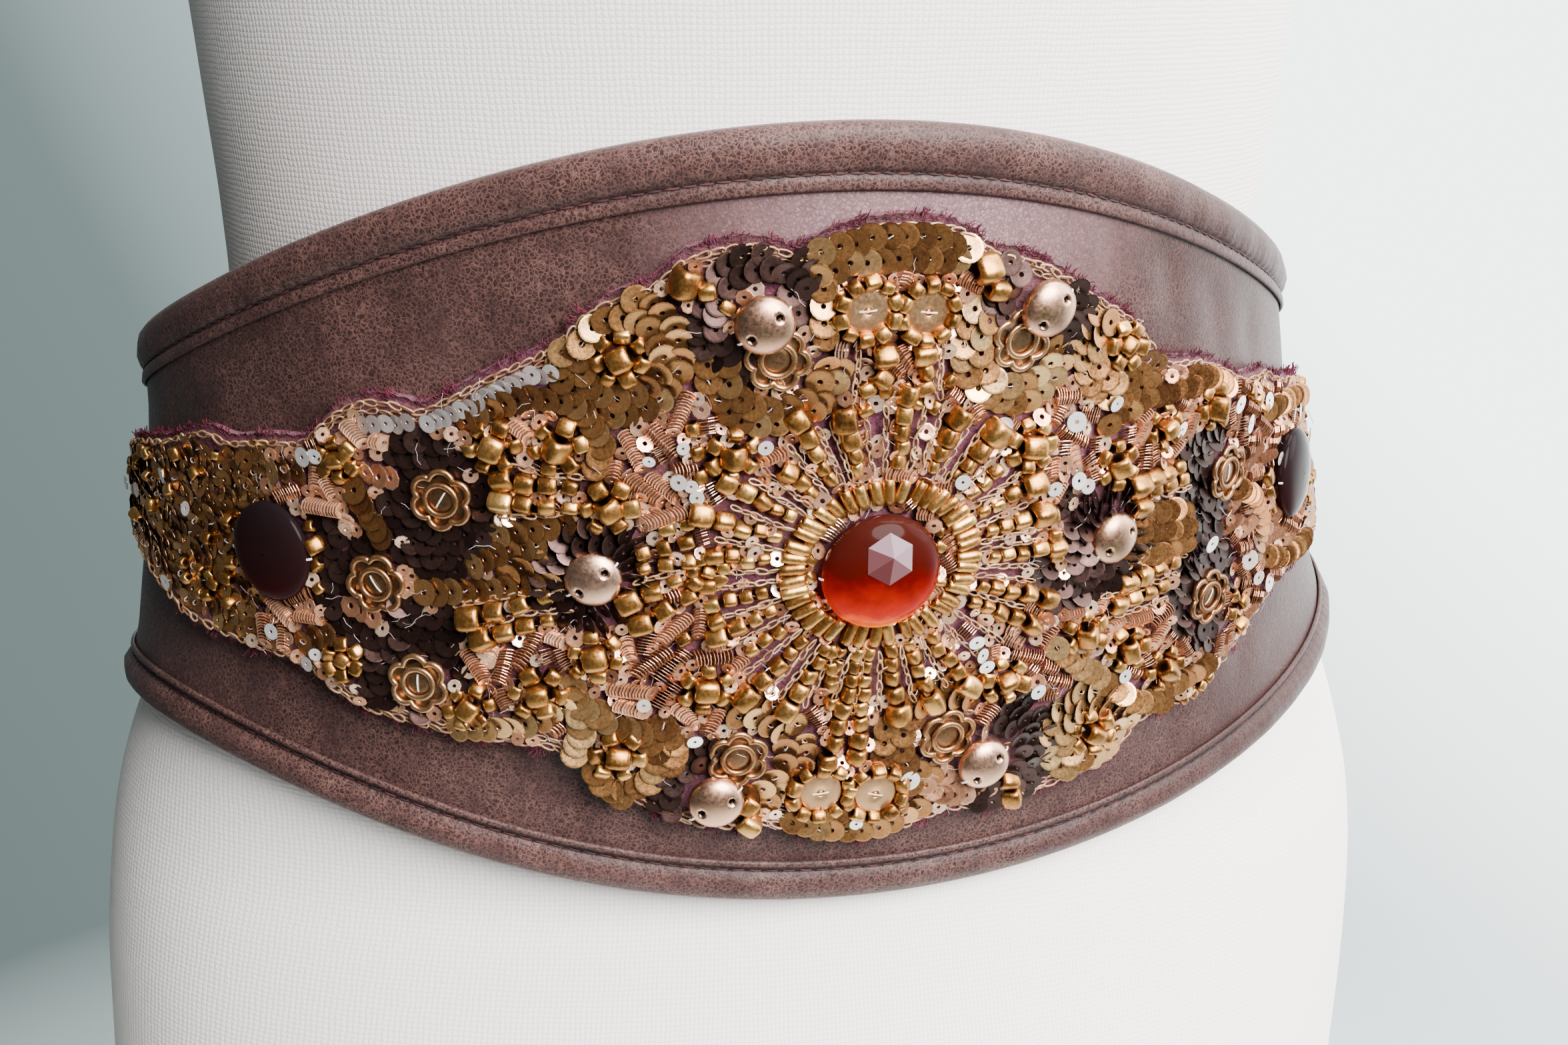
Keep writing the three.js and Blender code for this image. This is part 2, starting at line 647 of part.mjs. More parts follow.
function makeBase() {
  const foot = FORM_LEVELS[0];
  const at = (level, shrink) => formRing({ ...foot, level }, shrink).map((p) => p.setY(p.y - HIP_SETBACK));
  return loftRings("form_base", [at(0, BASE.inset), at(BASE.height, BASE.inset)], WOOD);
}

const worn = new THREE.Group();
worn.position.set(0, -HIP_SETBACK, STONE_LEVEL);
worn.add(makeTorso());
worn.add(makeNeckCap());
worn.add(makePanel());
worn.add(makeBinding("top_binding", topEdge, -1, BINDING.topLeg));
worn.add(makeBinding("bottom_binding", bottomEdge, 1, BINDING.bottomLeg));
worn.add(makeCentreApplique());
worn.add(makeWingApplique("applique_left", -1));
worn.add(makeWingApplique("applique_right", 1));
STONES.forEach((stone) => worn.add(makeStone(stone)));
DOMES.forEach((dome) => worn.add(makeDome(dome)));
FLOWER_CAPS.forEach((cap) => worn.add(makeFlowerCap(cap)));
COINS.forEach((coin) => worn.add(makeCoin(coin)));
SNAP_HEIGHTS.forEach((height, index) => worn.add(...makeSnap(height, index)));

const part = new THREE.Group();
part.add(makeBase());
part.add(worn);

export default part;
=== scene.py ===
import math

import bpy
import numpy as np
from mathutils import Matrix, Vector


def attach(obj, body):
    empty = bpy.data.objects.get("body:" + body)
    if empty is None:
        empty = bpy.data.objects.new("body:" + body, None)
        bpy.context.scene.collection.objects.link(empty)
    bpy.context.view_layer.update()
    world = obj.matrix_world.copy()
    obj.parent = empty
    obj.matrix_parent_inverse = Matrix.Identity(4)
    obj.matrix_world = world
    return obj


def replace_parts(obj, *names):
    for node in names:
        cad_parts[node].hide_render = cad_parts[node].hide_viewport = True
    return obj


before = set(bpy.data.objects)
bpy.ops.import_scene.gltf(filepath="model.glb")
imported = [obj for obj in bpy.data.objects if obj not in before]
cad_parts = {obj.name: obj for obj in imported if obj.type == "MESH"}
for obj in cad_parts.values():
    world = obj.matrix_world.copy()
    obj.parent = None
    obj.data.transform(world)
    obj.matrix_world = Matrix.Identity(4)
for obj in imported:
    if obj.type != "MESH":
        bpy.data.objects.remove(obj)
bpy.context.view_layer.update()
rng = np.random.default_rng(11)

# Where the belt sits in the part
STONE_LEVEL, SETBACK, LEFT = 230.0, 11.5, 7.5
# Its outer face: an ellipse in plan, pinched at the waist, that narrows upwards and leans forward
HALF_WIDTH, TAPER, PINCH, HALF_DEPTH, LEAN, SHIFT, TILT = 129.3, 0.235, 0.0012, 95.1, 0.224, 1.9, 0.14
# Heights of its edges: a mean, and waves of the angle from the front as cosines and sines
TOP_EDGE = (47.8, (24.3, 9.7, 1.0), (0.8, -3.6))
BOTTOM_EDGE = (-45.7, (-15.1, -6.7, -4.8), (2.8, -5.2))
# The panel ends BRIDGE short of the bindings' edge, and the bindings' legs reach this far in from it
PANEL_WALL, BRIDGE = 2.0, 1.8
TOP_LEG, BOTTOM_LEG, INNER_LEG = 11.3, 9.3, 6.0
BINDING_OUT, BINDING_IN = 1.3, -3.3
# Topstitching: its distance in from each edge, and the length of a stitch
TOP_STITCH, BOTTOM_STITCH, STITCH_STEP = 8.4, 7.2, 3.0
# The lap: how far each end runs past centre back, and where the outer end rises over the inner
LAP, RAMP, LAP_RISE = math.radians(6), (math.radians(146), math.radians(170)), 4.9
# Distance along the belt at centre back, and its growth with the angle in the lap
BACK_ALONG, BACK_RADIUS = 355, 129
# How far out the felt's face and the seats of stones and metal lie
FELT_OUT, SEAT_OUT = 2.4, 3.9
# Height of the sunburst's middle
SUN = 3.3
# How much duller the work grows toward its right end
DULL_RIGHT = 0.33


# Arithmetic

def smooth(low, high, value):
    t = np.clip((value - low) / (high - low), 0, 1)
    return t * t * (3 - 2 * t)


def unit(v):
    return v / np.linalg.norm(v, axis=-1, keepdims=True)


def belt(angle, height, out=0.0):
    angle, height, out = np.broadcast_arrays(np.asarray(angle, float), height, out)
    s, c = np.sin(angle), np.cos(angle)
    half = HALF_WIDTH - TAPER * height + PINCH * height**2
    shift = SHIFT - TILT * height
    run = half * c + 2 * shift * s * c
    slope = (TAPER - 2 * PINCH * height) * s + TILT * s * s
    normal = unit(np.stack([HALF_DEPTH * s, -run, HALF_DEPTH * s * slope - LEAN * run], -1))
    x = half * s + shift * s * s - LEFT
    y = -LEAN * height - HALF_DEPTH * c - SETBACK
    rise = out + LAP_RISE * smooth(*RAMP, angle)
    return np.stack([x, y, height + STONE_LEVEL], -1) + normal * rise[..., None]


def edge(sizes, angle):
    mean, cos, sin = sizes
    total = mean + 0 * angle
    for n, (a, b) in enumerate(zip(cos, list(sin) + [0])):
        total = total + a * np.cos((n + 1) * angle) + b * np.sin((n + 1) * angle)
    return total


ARC_ANGLE = np.linspace(-math.pi, math.pi, 3601)
ARC_SPEED = np.hypot(HALF_WIDTH * np.cos(ARC_ANGLE), HALF_DEPTH * np.sin(ARC_ANGLE))
ARC = np.concatenate([[0], np.cumsum((ARC_SPEED[1:] + ARC_SPEED[:-1]) / 2 * np.diff(ARC_ANGLE))])
ARC -= ARC[1800]


def angle_of(along):
    return np.interp(along, ARC, ARC_ANGLE)


def along_of(angle):
    return np.interp(angle, ARC_ANGLE, ARC)


def along_with_lap(angle):
    """As along_of, and past centre back on into the lap."""
    past = abs(angle) - math.pi
    return np.sign(angle) * np.where(past > 0, BACK_ALONG + past * BACK_RADIUS, abs(along_of(angle)))


def seat(along, height, out):
    """Points and their frames, the frames' columns being along, up and out."""
    a = angle_of(np.asarray(along, float))
    p = belt(a, height, out)
    across = unit(belt(a + 1e-4, height, out) - p)
    normal = unit(belt(a, height, np.asarray(out) + 1.0) - p)
    up = np.cross(normal, across)
    return p, np.stack([across, up, normal], -1)


def turn_about(axis, angle):
    """Rotation matrices about 0 x, 1 y or 2 z."""
    angle = np.asarray(angle, float)
    c, s, o, i = np.cos(angle), np.sin(angle), 0 * angle, 1 + 0 * angle
    rows = {0: [i, o, o, o, c, -s, o, s, c], 1: [c, o, s, o, i, o, -s, o, c], 2: [c, -s, o, s, c, o, o, o, i]}
    return np.stack(rows[axis], -1).reshape(angle.shape + (3, 3))


# Meshes from arrays

def make(name, points, faces, material, smooth_faces=True, tone=None, own=None):
    """A mesh object from points in mm and lists of faces of equal length each."""
    points = np.asarray(points, np.float32).reshape(-1, 3) / 1000
    faces = [np.asarray(f, np.int32) for f in faces if len(f)]
    mesh = bpy.data.meshes.new(name)
    mesh.vertices.add(len(points))
    mesh.vertices.foreach_set("co", points.ravel())
    sizes = np.concatenate([np.full(len(f), f.shape[1], np.int32) for f in faces])
    loops = np.concatenate([f.ravel() for f in faces])
    mesh.loops.add(len(loops))
    mesh.loops.foreach_set("vertex_index", loops)
    mesh.polygons.add(len(sizes))
    mesh.polygons.foreach_set("loop_start", np.concatenate([[0], np.cumsum(sizes)[:-1]]).astype(np.int32))
    mesh.polygons.foreach_set("use_smooth", np.full(len(sizes), smooth_faces))
    for label, values in (("tone", tone), ("own", own)):
        if values is not None:
            mesh.attributes.new(label, "FLOAT", "POINT").data.foreach_set("value", np.asarray(values, np.float32))
    mesh.update(calc_edges=True)
    mesh.validate()
    mesh.materials.append(material)
    piece = bpy.data.objects.new(name, mesh)
    bpy.context.scene.collection.objects.link(piece)
    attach(piece, "root")
    return piece


def grid_faces(rows, columns, wrap_rows=False, wrap_columns=False):
    r = np.arange(rows if wrap_rows else rows - 1)
    c = np.arange(columns if wrap_columns else columns - 1)
    r, c = np.meshgrid(r, c, indexing="ij")
    r2, c2 = (r + 1) % rows, (c + 1) % columns
    return np.stack([r * columns + c, r * columns + c2, r2 * columns + c2, r2 * columns + c], -1).reshape(-1, 4)


def fan(tip, first, sides):
    """Triangles from a tip to the ring of points that starts at first."""
    i = np.arange(sides)
    return np.stack([np.full(sides, tip), first + i, first + (i + 1) % sides], -1)


class Batch:
    """Many small shapes gathered for one mesh."""

    def __init__(self):
        self.points, self.faces, self.tones, self.owns, self.count = [], [], [], [], 0

    def add(self, points, faces, tone=0.5, own=None):
        """points (n, k, 3), faces a list of (m, s) arrays for one shape."""
        n, k = points.shape[:2]
        self.points.append(points.reshape(-1, 3))
        start = self.count + np.arange(n) * k
        for f in faces:
            f = np.asarray(f)
            self.faces.append((f[None] + start[:, None, None]).reshape(-1, f.shape[1]))
        tone = np.broadcast_to(np.asarray(tone, float), (n,))
        self.tones.append(np.repeat(tone, k))
        self.owns.append(np.tile(np.zeros(k) if own is None else own, n))
        self.count += n * k

    def put(self, template, along, height, out, size=1.0, spin=0.0, tilt=0.0, roll=0.0, tone=0.5, stretch=None):
        """Copies of a template seated on the belt. roll turns it about its own z first, tilt then lifts its
        +x end about y, and spin turns it in the belt's plane."""
        points, faces, own = template
        along, height, out = np.broadcast_arrays(np.asarray(along, float), height, out)
        if along.size == 0:
            return
        where, axes = seat(along, height, out)
        n = along.size
        spin, tilt, roll, size = (np.broadcast_to(np.asarray(v, float), (n,)) for v in (spin, tilt, roll, size))
        turn = axes @ turn_about(2, spin) @ turn_about(1, -tilt) @ turn_about(0, roll)
        local = points[None] * size[:, None, None]
        if stretch is not None:
            local = local * stretch[:, None, :]
        tone = np.clip(tone - DULL_RIGHT * smooth(35, 80, along), 0, 1)
        self.add(where[:, None] + np.einsum("nij,nkj->nki", turn, local), faces, tone, own)

    def done(self, name, material, slot=None, smooth_faces=True):
        by_size = {}
        for f in self.faces:
            by_size.setdefault(f.shape[1], []).append(f)
        faces = [np.concatenate(v) for v in by_size.values()]
        return make(
            name, np.concatenate(self.points), faces, material, smooth_faces,
            np.concatenate(self.tones), np.concatenate(self.owns),
        )


def lathe(profile, sides):
    """A template turned about z from a list of (radius, z)."""
    turn = np.linspace(0, 2 * math.pi, sides, endpoint=False)
    r, z = (np.repeat(np.array(profile, float)[:, k][:, None], sides, 1) for k in (0, 1))
    points = np.stack([r * np.cos(turn), r * np.sin(turn), z], -1)
    return points.reshape(-1, 3), [grid_faces(len(profile), sides, wrap_columns=True)[:, ::-1]], None


def closed_lathe(profile, sides):
    points, faces, _ = lathe(profile, sides)
    n = len(points)
    points = np.concatenate([points, [[0, 0, profile[0][1]], [0, 0, profile[-1][1]]]])
    return points, faces + [fan(n, 0, sides)[:, ::-1], fan(n + 1, n - sides, sides)], None


def tube(path, radius, sides, closed=False, flat=1.0, ribs=0.0):
    """A tube round a path (k, 3), as a template."""
    path = np.asarray(path, float)
    ahead = np.roll(path, -1, 0) - np.roll(path, 1, 0)
    if not closed:
        ahead[0], ahead[-1] = path[1] - path[0], path[-1] - path[-2]
    ahead = unit(ahead)
    ref = np.array([0, 0, 1.0])
    if abs(ahead @ ref).max() > 0.95:
        ref = unit(np.array([0.3, 0.9, 0.1]))
    side = unit(np.cross(ahead, ref))
    up = np.cross(side, ahead)
    turn = np.linspace(0, 2 * math.pi, sides, endpoint=False)
    r = radius * (1 + ribs * (np.arange(len(path)) % 2))[:, None, None]
    ring = side[:, None] * np.cos(turn)[None, :, None] + up[:, None] * (np.sin(turn) * flat)[None, :, None]
    points = (path[:, None] + ring * r).reshape(-1, 3)
    return points, [grid_faces(len(path), sides, closed, True)], None


# Finishes

def material(name):
    m = bpy.data.materials.new(name)
    m.use_nodes = True
    tree = m.node_tree
    return m, tree, tree.nodes["Principled BSDF"]


def node(tree, kind, inputs=(), **settings):
    n = tree.nodes.new(kind)
    for key, value in settings.items():
        setattr(n, key, value)
    for key, value in dict(inputs).items():
        if isinstance(value, bpy.types.NodeSocket):
            tree.links.new(value, n.inputs[key])
        else:
            n.inputs[key].default_value = value
    return n


def noise(tree, scale, detail=3.0, rough=0.5, vector=None):
    n = node(tree, "ShaderNodeTexNoise", {"Scale": scale, "Detail": detail, "Roughness": rough})
    tree.links.new(vector or node(tree, "ShaderNodeTexCoord").outputs["Object"], n.inputs["Vector"])
    return n.outputs["Fac"]


def ramp(tree, value, stops):
    n = node(tree, "ShaderNodeValToRGB", {"Fac": value})
    while len(n.color_ramp.elements) < len(stops):
        n.color_ramp.elements.new(0.5)
    for element, (place, colour) in zip(n.color_ramp.elements, stops):
        element.position = place
        element.color = (*colour, 1)
    return n.outputs["Color"]


def grey(tree, value, low, high, to_low=0.0, to_high=1.0):
    n = node(tree, "ShaderNodeMapRange", {"Value": value, "From Min": low, "From Max": high,
                                          "To Min": to_low, "To Max": to_high})
    return n.outputs["Result"]


def mix(tree, factor, a, b):
    n = node(tree, "ShaderNodeMix", data_type="RGBA")
    for socket, value in ((n.inputs[0], factor), (n.inputs[6], a), (n.inputs[7], b)):
        if isinstance(value, bpy.types.NodeSocket):
            tree.links.new(value, socket)
        elif isinstance(value, tuple):
            socket.default_value = (*value, 1)
        else:
            socket.default_value = value
    return n.outputs[2]


def maths(tree, operation, a, b=0.0):
    n = node(tree, "ShaderNodeMath", operation=operation)
    for socket, value in ((n.inputs[0], a), (n.inputs[1], b)):
        if isinstance(value, bpy.types.NodeSocket):
            tree.links.new(value, socket)
        else:
            socket.default_value = value
    return n.outputs[0]


def bump(tree, bsdf, height, strength, distance):
    n = node(tree, "ShaderNodeBump", {"Height": height, "Strength": strength, "Distance": distance})
    last = bsdf.inputs["Normal"]
    if last.is_linked:
        tree.links.new(last.links[0].from_socket, n.inputs["Normal"])
    tree.links.new(n.outputs["Normal"], last)


def laid_over(m, factor, colour):
    """Mixes a colour over a finish's own."""
    base = m.node_tree.nodes["Principled BSDF"].inputs["Base Color"]
    m.node_tree.links.new(mix(m.node_tree, factor, base.links[0].from_socket, colour), base)


def attribute(tree, name):
    return node(tree, "ShaderNodeAttribute", attribute_name=name).outputs["Fac"]


# Middle of the painted sheen, a painted highlight on the leather above the sunburst, and one over its half sizes
SHEEN_PAINT_PLACE = (-0.004, -0.10, 0.297)
SHEEN_PAINT_SHAPE = (1 / 0.052, 0.0, 1 / 0.036)


def leather_finish(name, worn):
    """Distressed leather: fine grain, tan crackle where it is rubbed, darker blotches. worn is 0 to 1: over a half
    it is the bindings', with painted shade in their sunk stitched line, and under it the panel's, with a painted
    sheen, a painted highlight, over the sunburst."""
    m, t, b = material(name)
    where = node(t, "ShaderNodeTexCoord").outputs["Object"]
    blotch = noise(t, 22, 4, 0.55, where)
    fine = noise(t, 1500, 4, 0.7, where)
    stir = node(t, "ShaderNodeTexNoise", {"Scale": 420.0, "Detail": 3.0, "Vector": where}).outputs["Color"]
    stir = node(t, "ShaderNodeVectorMath", {0: stir, "Scale": 0.0022}, operation="SCALE").outputs[0]
    warped = node(t, "ShaderNodeVectorMath", {0: where, 1: stir}, operation="ADD").outputs[0]
    cracks = node(t, "ShaderNodeTexVoronoi", {"Scale": 1150.0, "Vector": warped},
                  feature="DISTANCE_TO_EDGE").outputs["Distance"]
    folds = node(t, "ShaderNodeTexVoronoi", {"Scale": 330.0, "Vector": warped},
                 feature="DISTANCE_TO_EDGE").outputs["Distance"]
    rub = noise(t, 75, 6, 0.75, where)
    base = ramp(t, blotch, [
        (0.3, (0.017, 0.0075, 0.007)), (0.5, (0.025, 0.0115, 0.0108)), (0.68, (0.038, 0.018, 0.017))])
    rubbed = grey(t, rub, 0.30 - 0.08 * worn, 0.80 - 0.10 * worn)
    pale = maths(t, "MULTIPLY", rubbed, grey(t, cracks, 0.02, 0.14, 1, 0))
    pale = maths(t, "MAXIMUM", pale, maths(t, "MULTIPLY", rubbed, grey(t, fine, 0.50, 0.66, 0.0, 0.35 + 0.4 * worn)))
    colour = mix(t, maths(t, "MULTIPLY", pale, 0.6), base, (0.29, 0.14, 0.11))
    colour = mix(t, grey(t, folds, 0.0, 0.05, 0.35, 0.0), colour, (0.012, 0.006, 0.006))
    colour = mix(t, grey(t, fine, 0.35, 0.75, 0.0, 0.22), colour, (0.13, 0.078, 0.082))
    if worn > 0.5:
        # Painted shade: the bindings' sunk stitched line is darkened where own is high
        colour = mix(t, grey(t, attribute(t, "own"), 0.1, 1.0, 0.0, 0.92), colour, (0.006, 0.002, 0.003))
    else:
        # Painted sheen: a painted highlight of pale mauve over the leather above the sunburst, broken up by grain and
        # crackle
        place = node(t, "ShaderNodeVectorMath", {0: where, 1: SHEEN_PAINT_PLACE}, operation="SUBTRACT").outputs[0]
        place = node(t, "ShaderNodeVectorMath", {0: place, 1: SHEEN_PAINT_SHAPE}, operation="MULTIPLY").outputs[0]
        place = node(t, "ShaderNodeVectorMath", {0: place}, operation="LENGTH").outputs["Value"]
        painted_sheen = maths(t, "MULTIPLY", grey(t, place, 0.2, 1.0, 1.0, 0.0), grey(t, fine, 0.25, 0.65, 0.5, 1.0))
        painted_sheen = maths(t, "MULTIPLY", painted_sheen, grey(t, cracks, 0.03, 0.25, 0.45, 1.0))
        colour = mix(t, maths(t, "MULTIPLY", painted_sheen, 0.95), colour, (0.35, 0.215, 0.232))
    across = node(t, "ShaderNodeSeparateXYZ", {"Vector": where}).outputs["X"]
    colour = mix(t, grey(t, across, 0.02, 0.09, 0.0, 0.58), colour, (0.030, 0.013, 0.012))
    t.links.new(colour, b.inputs["Base Color"])
    t.links.new(grey(t, fine, 0.3, 0.7, 0.32, 0.54), b.inputs["Roughness"])
    b.inputs["Specular IOR Level"].default_value = 0.17
    b.inputs["Sheen Weight"].default_value = 0.03
    b.inputs["Sheen Roughness"].default_value = 0.5
    b.inputs["Sheen Tint"].default_value = (0.75, 0.55, 0.60, 1)
    bump(t, b, cracks, 0.35, 0.00025)
    bump(t, b, folds, 0.25, 0.0003)
    bump(t, b, fine, 0.35, 0.00025)
    return m


def metal_finish(name, dark, mid, light, rough, brushed=0.3, grime=(0.05, 0.03, 0.02), metal=1.0, soiled=0.5,
                 painted_edge_shade=False):
    """Plated beads and sequins, each piece a little different by its tone."""
    m, t, b = material(name)
    tone = attribute(t, "tone")
    scratch = noise(t, 1500, 4, 0.7)
    soil = noise(t, 420, 3, 0.6)
    colour = ramp(t, tone, [(0.0, dark), (0.5, mid), (1.0, light)])
    colour = mix(t, grey(t, scratch, 0.35, 0.75, 0.0, brushed), colour, light)
    colour = mix(t, grey(t, soil, 0.5, 0.75, 0.0, soiled), colour, grime)
    # Painted shade where own is high: at the ends and in the holes of beads, and at the rims and round the holes of
    # sequins
    if painted_edge_shade:
        colour = mix(t, grey(t, attribute(t, "own"), 0.7, 1.15), colour, (0.02, 0.01, 0.006))
    t.links.new(colour, b.inputs["Base Color"])
    b.inputs["Metallic"].default_value = metal
    t.links.new(grey(t, scratch, 0.3, 0.7, rough - 0.07, rough + 0.12), b.inputs["Roughness"])
    bump(t, b, scratch, 0.25, 0.00012)
    return m


def thread_finish(name, dark, light, rough=0.6, sheen=0.3):
    m, t, b = material(name)
    t.links.new(ramp(t, attribute(t, "tone"), [(0.0, dark), (1.0, light)]), b.inputs["Base Color"])
    b.inputs["Roughness"].default_value = rough
    b.inputs["Sheen Weight"].default_value = sheen
    bump(t, b, noise(t, 2600, 2), 0.4, 0.0001)
    return m


leather = leather_finish("leather_distressed", 0.25)
leather_worn = leather_finish("leather_distressed_binding", 0.8)
gold_bead = metal_finish("bead_gold", (0.22, 0.078, 0.016), (0.47, 0.205, 0.050), (0.84, 0.49, 0.155), 0.29, 0.3,
                         (0.12, 0.038, 0.010), 0.95, 0.55, True)
gold_sequin = metal_finish("sequin_gold", (0.22, 0.078, 0.026), (0.54, 0.235, 0.078), (0.95, 0.58, 0.25), 0.27, 0.12,
                           (0.20, 0.075, 0.030), 0.92, 0.3, True)
copper_sequin = metal_finish("sequin_copper", (0.36, 0.135, 0.065), (0.80, 0.37, 0.20), (1.0, 0.70, 0.50), 0.26,
                             0.15, (0.26, 0.095, 0.055), 0.8, 0.35, True)
dark_sequin = metal_finish("sequin_dark", (0.022, 0.010, 0.008), (0.047, 0.023, 0.019), (0.100, 0.054, 0.046), 0.34,
                           0.08, (0.02, 0.010, 0.009), 0.85, 0.3, True)
white_sequin = metal_finish("sequin_silver", (0.50, 0.36, 0.32), (0.90, 0.78, 0.74), (1.0, 0.96, 0.94), 0.18, 0.1,
                            (0.6, 0.45, 0.40), 0.6, 0.25, True)
dome_bronze = metal_finish("dome_bronze", (0.46, 0.235, 0.145), (0.62, 0.34, 0.22), (0.82, 0.50, 0.36), 0.30, 0.04,
                           (0.36, 0.17, 0.09), 1.0, 0.06)
cap_copper = metal_finish("cap_copper", (0.24, 0.100, 0.042), (0.46, 0.225, 0.098), (0.72, 0.43, 0.22), 0.30, 0.2,
                          (0.12, 0.045, 0.02), 0.95, 0.3)
coin_champagne = metal_finish("coin_champagne", (0.50, 0.25, 0.11), (0.66, 0.355, 0.165), (0.84, 0.50, 0.26), 0.33,
                              0.2, (0.4, 0.19, 0.08), 0.95, 0.2)
chain_gold = metal_finish("chain_cord", (0.24, 0.115, 0.050), (0.44, 0.245, 0.115), (0.66, 0.44, 0.25), 0.45, 0.2,
                          (0.14, 0.05, 0.03), 0.4)
wisp = thread_finish("thread_wisp", (0.28, 0.20, 0.21), (0.66, 0.57, 0.57))
stitch_red = thread_finish("thread_red", (0.010, 0.003, 0.004), (0.060, 0.010, 0.013), 0.8, 0.0)
fray = thread_finish("felt_fray", (0.055, 0.004, 0.014), (0.15, 0.012, 0.036), 0.95, 0.0)


# Leather

def panel_angles(count):
    return np.linspace(-math.pi - LAP, math.pi + LAP, count)


# Creases of the panel: along, height of the middle, half length, half width, depth, lean.
CREASES = [
    (-44, 70, 9, 2.2, 0.35, 0.25), (-33, 73, 8, 1.6, 0.4, 0.2), (-26, 74, 8, 1.5, 0.45, 0.12),
    (-19, 75, 8, 1.4, 0.5, 0.1), (-13, 75, 7, 1.6, 0.45, 0.05), (-6, 76, 6, 1.3, 0.4, 0.0),
    (2, 75, 6, 1.6, 0.35, -0.05), (11, 74, 7, 1.5, 0.3, -0.1), (22, 71, 7, 2.0, 0.3, -0.15),
    (34, 68, 8, 2.4, 0.35, -0.2), (47, 63, 10, 3.2, 0.5, -0.2), (-63, 62, 10, 3.4, 0.4, 0.3),
    (-78, 52, 9, 4.0, 0.45, 0.35), (66, 52, 11, 4.2, 0.55, -0.25), (84, 42, 9, 4.5, 0.5, -0.3),
    (-96, 44, 8, 5.0, 0.5, 0.3), (102, 36, 8, 5.0, 0.6, -0.2), (-52, -42, 8, 4.0, 0.35, -0.3),
    (38, -58, 6, 3.5, 0.3, 0.2), (68, -45, 8, 4.0, 0.4, 0.25), (90, -34, 9, 4.0, 0.45, 0.2),
    (-92, -38, 7, 4.5, 0.4, -0.2), (150, 22, 12, 5.0, 0.6, -0.1), (-152, 20, 12, 5.0, 0.6, 0.1),
    (205, 4, 18, 5.5, 0.6, 0.05), (236, -6, 16, 5.0, 0.5, 0.0), (-208, 2, 18, 5.5, 0.6, -0.05),
    (-240, -4, 16, 5.0, 0.5, 0.0), (272, 2, 18, 6.0, 0.45, 0.1), (-276, 4, 18, 6.0, 0.45, -0.1),
]


def crease_depth(along, height):
    total = 0.0
    for a, h, tall, wide, deep, lean in CREASES:
        x = (along - a - lean * (height - h)) / wide
        total = total - deep * np.exp(-x * x - ((height - h) / tall) ** 2)
    return total


def panel_face(columns, rows, out, worked):
    angle = panel_angles(columns)[:, None]
    low, high = edge(BOTTOM_EDGE, angle) + BRIDGE, edge(TOP_EDGE, angle) - BRIDGE
    height = low + (high - low) * np.linspace(0, 1, rows)[None]
    angle = np.broadcast_to(angle, height.shape)
    rise = 0.0 * height
    if worked:
        along = along_with_lap(angle)
        free = smooth(0, 4, height - low - BOTTOM_LEG + 1) * smooth(0, 4, high - TOP_LEG + 1 - height)
        wave = 0.25 * np.sin(along * 0.11 + 0.05 * height) * np.sin(height * 0.13 + 0.7)
        drawn = smooth(56, 68, height) * smooth(-56, -40, along) * smooth(34, 12, along)
        wave = wave + 0.15 * drawn * np.sin(along * 2.05 + 0.9 * np.sin(along * 0.37) + 0.08 * height)
        rise = (crease_depth(along, height) + wave - 0.15) * free
    return belt(angle, height, out + rise)


def wall(name, outer, inner, finish):
    """A closed wall of two faces given as columns of points with equal ends."""
    points = np.concatenate([outer.reshape(-1, 3), inner.reshape(-1, 3)])
    c, r = outer.shape[:2]
    c2, r2 = inner.shape[:2]
    start = c * r
    faces = [grid_faces(c, r), start + grid_faces(c2, r2)[:, ::-1]]
    step = (c - 1) // (c2 - 1)
    rims = []
    for row, row2, flip in ((0, 0, False), (r - 1, r2 - 1, True)):
        for i in range(c2 - 1):
            a, b = start + i * r2 + row2, start + (i + 1) * r2 + row2
            for k in range(step):
                q = [(i * step + k) * r + row, (i * step + k + 1) * r + row, b if k == step - 1 else a]
                rims.append(q if flip else q[::-1])
                if k == step - 1:
                    q = [(i * step + k) * r + row, b, a]
                    rims.append(q if flip else q[::-1])
    rows = (r - 1) // (r2 - 1)
    for column, column2, flip in ((0, 0, True), (c - 1, c2 - 1, False)):
        for i in range(r2 - 1):
            a, b = start + column2 * r2 + i, start + column2 * r2 + i + 1
            for k in range(rows):
                q = [column * r + i * rows + k, column * r + i * rows + k + 1, b if k == rows - 1 else a]
                rims.append(q if flip else q[::-1])
                if k == rows - 1:
                    q = [column * r + i * rows + k, b, a]
                    rims.append(q if flip else q[::-1])
    return make(name, points, faces + [np.array(rims)], finish)


panel = wall("leather_panel", panel_face(621, 49, 0, True), panel_face(156, 13, -PANEL_WALL, False), leather)
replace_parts(panel, "belt_panel")


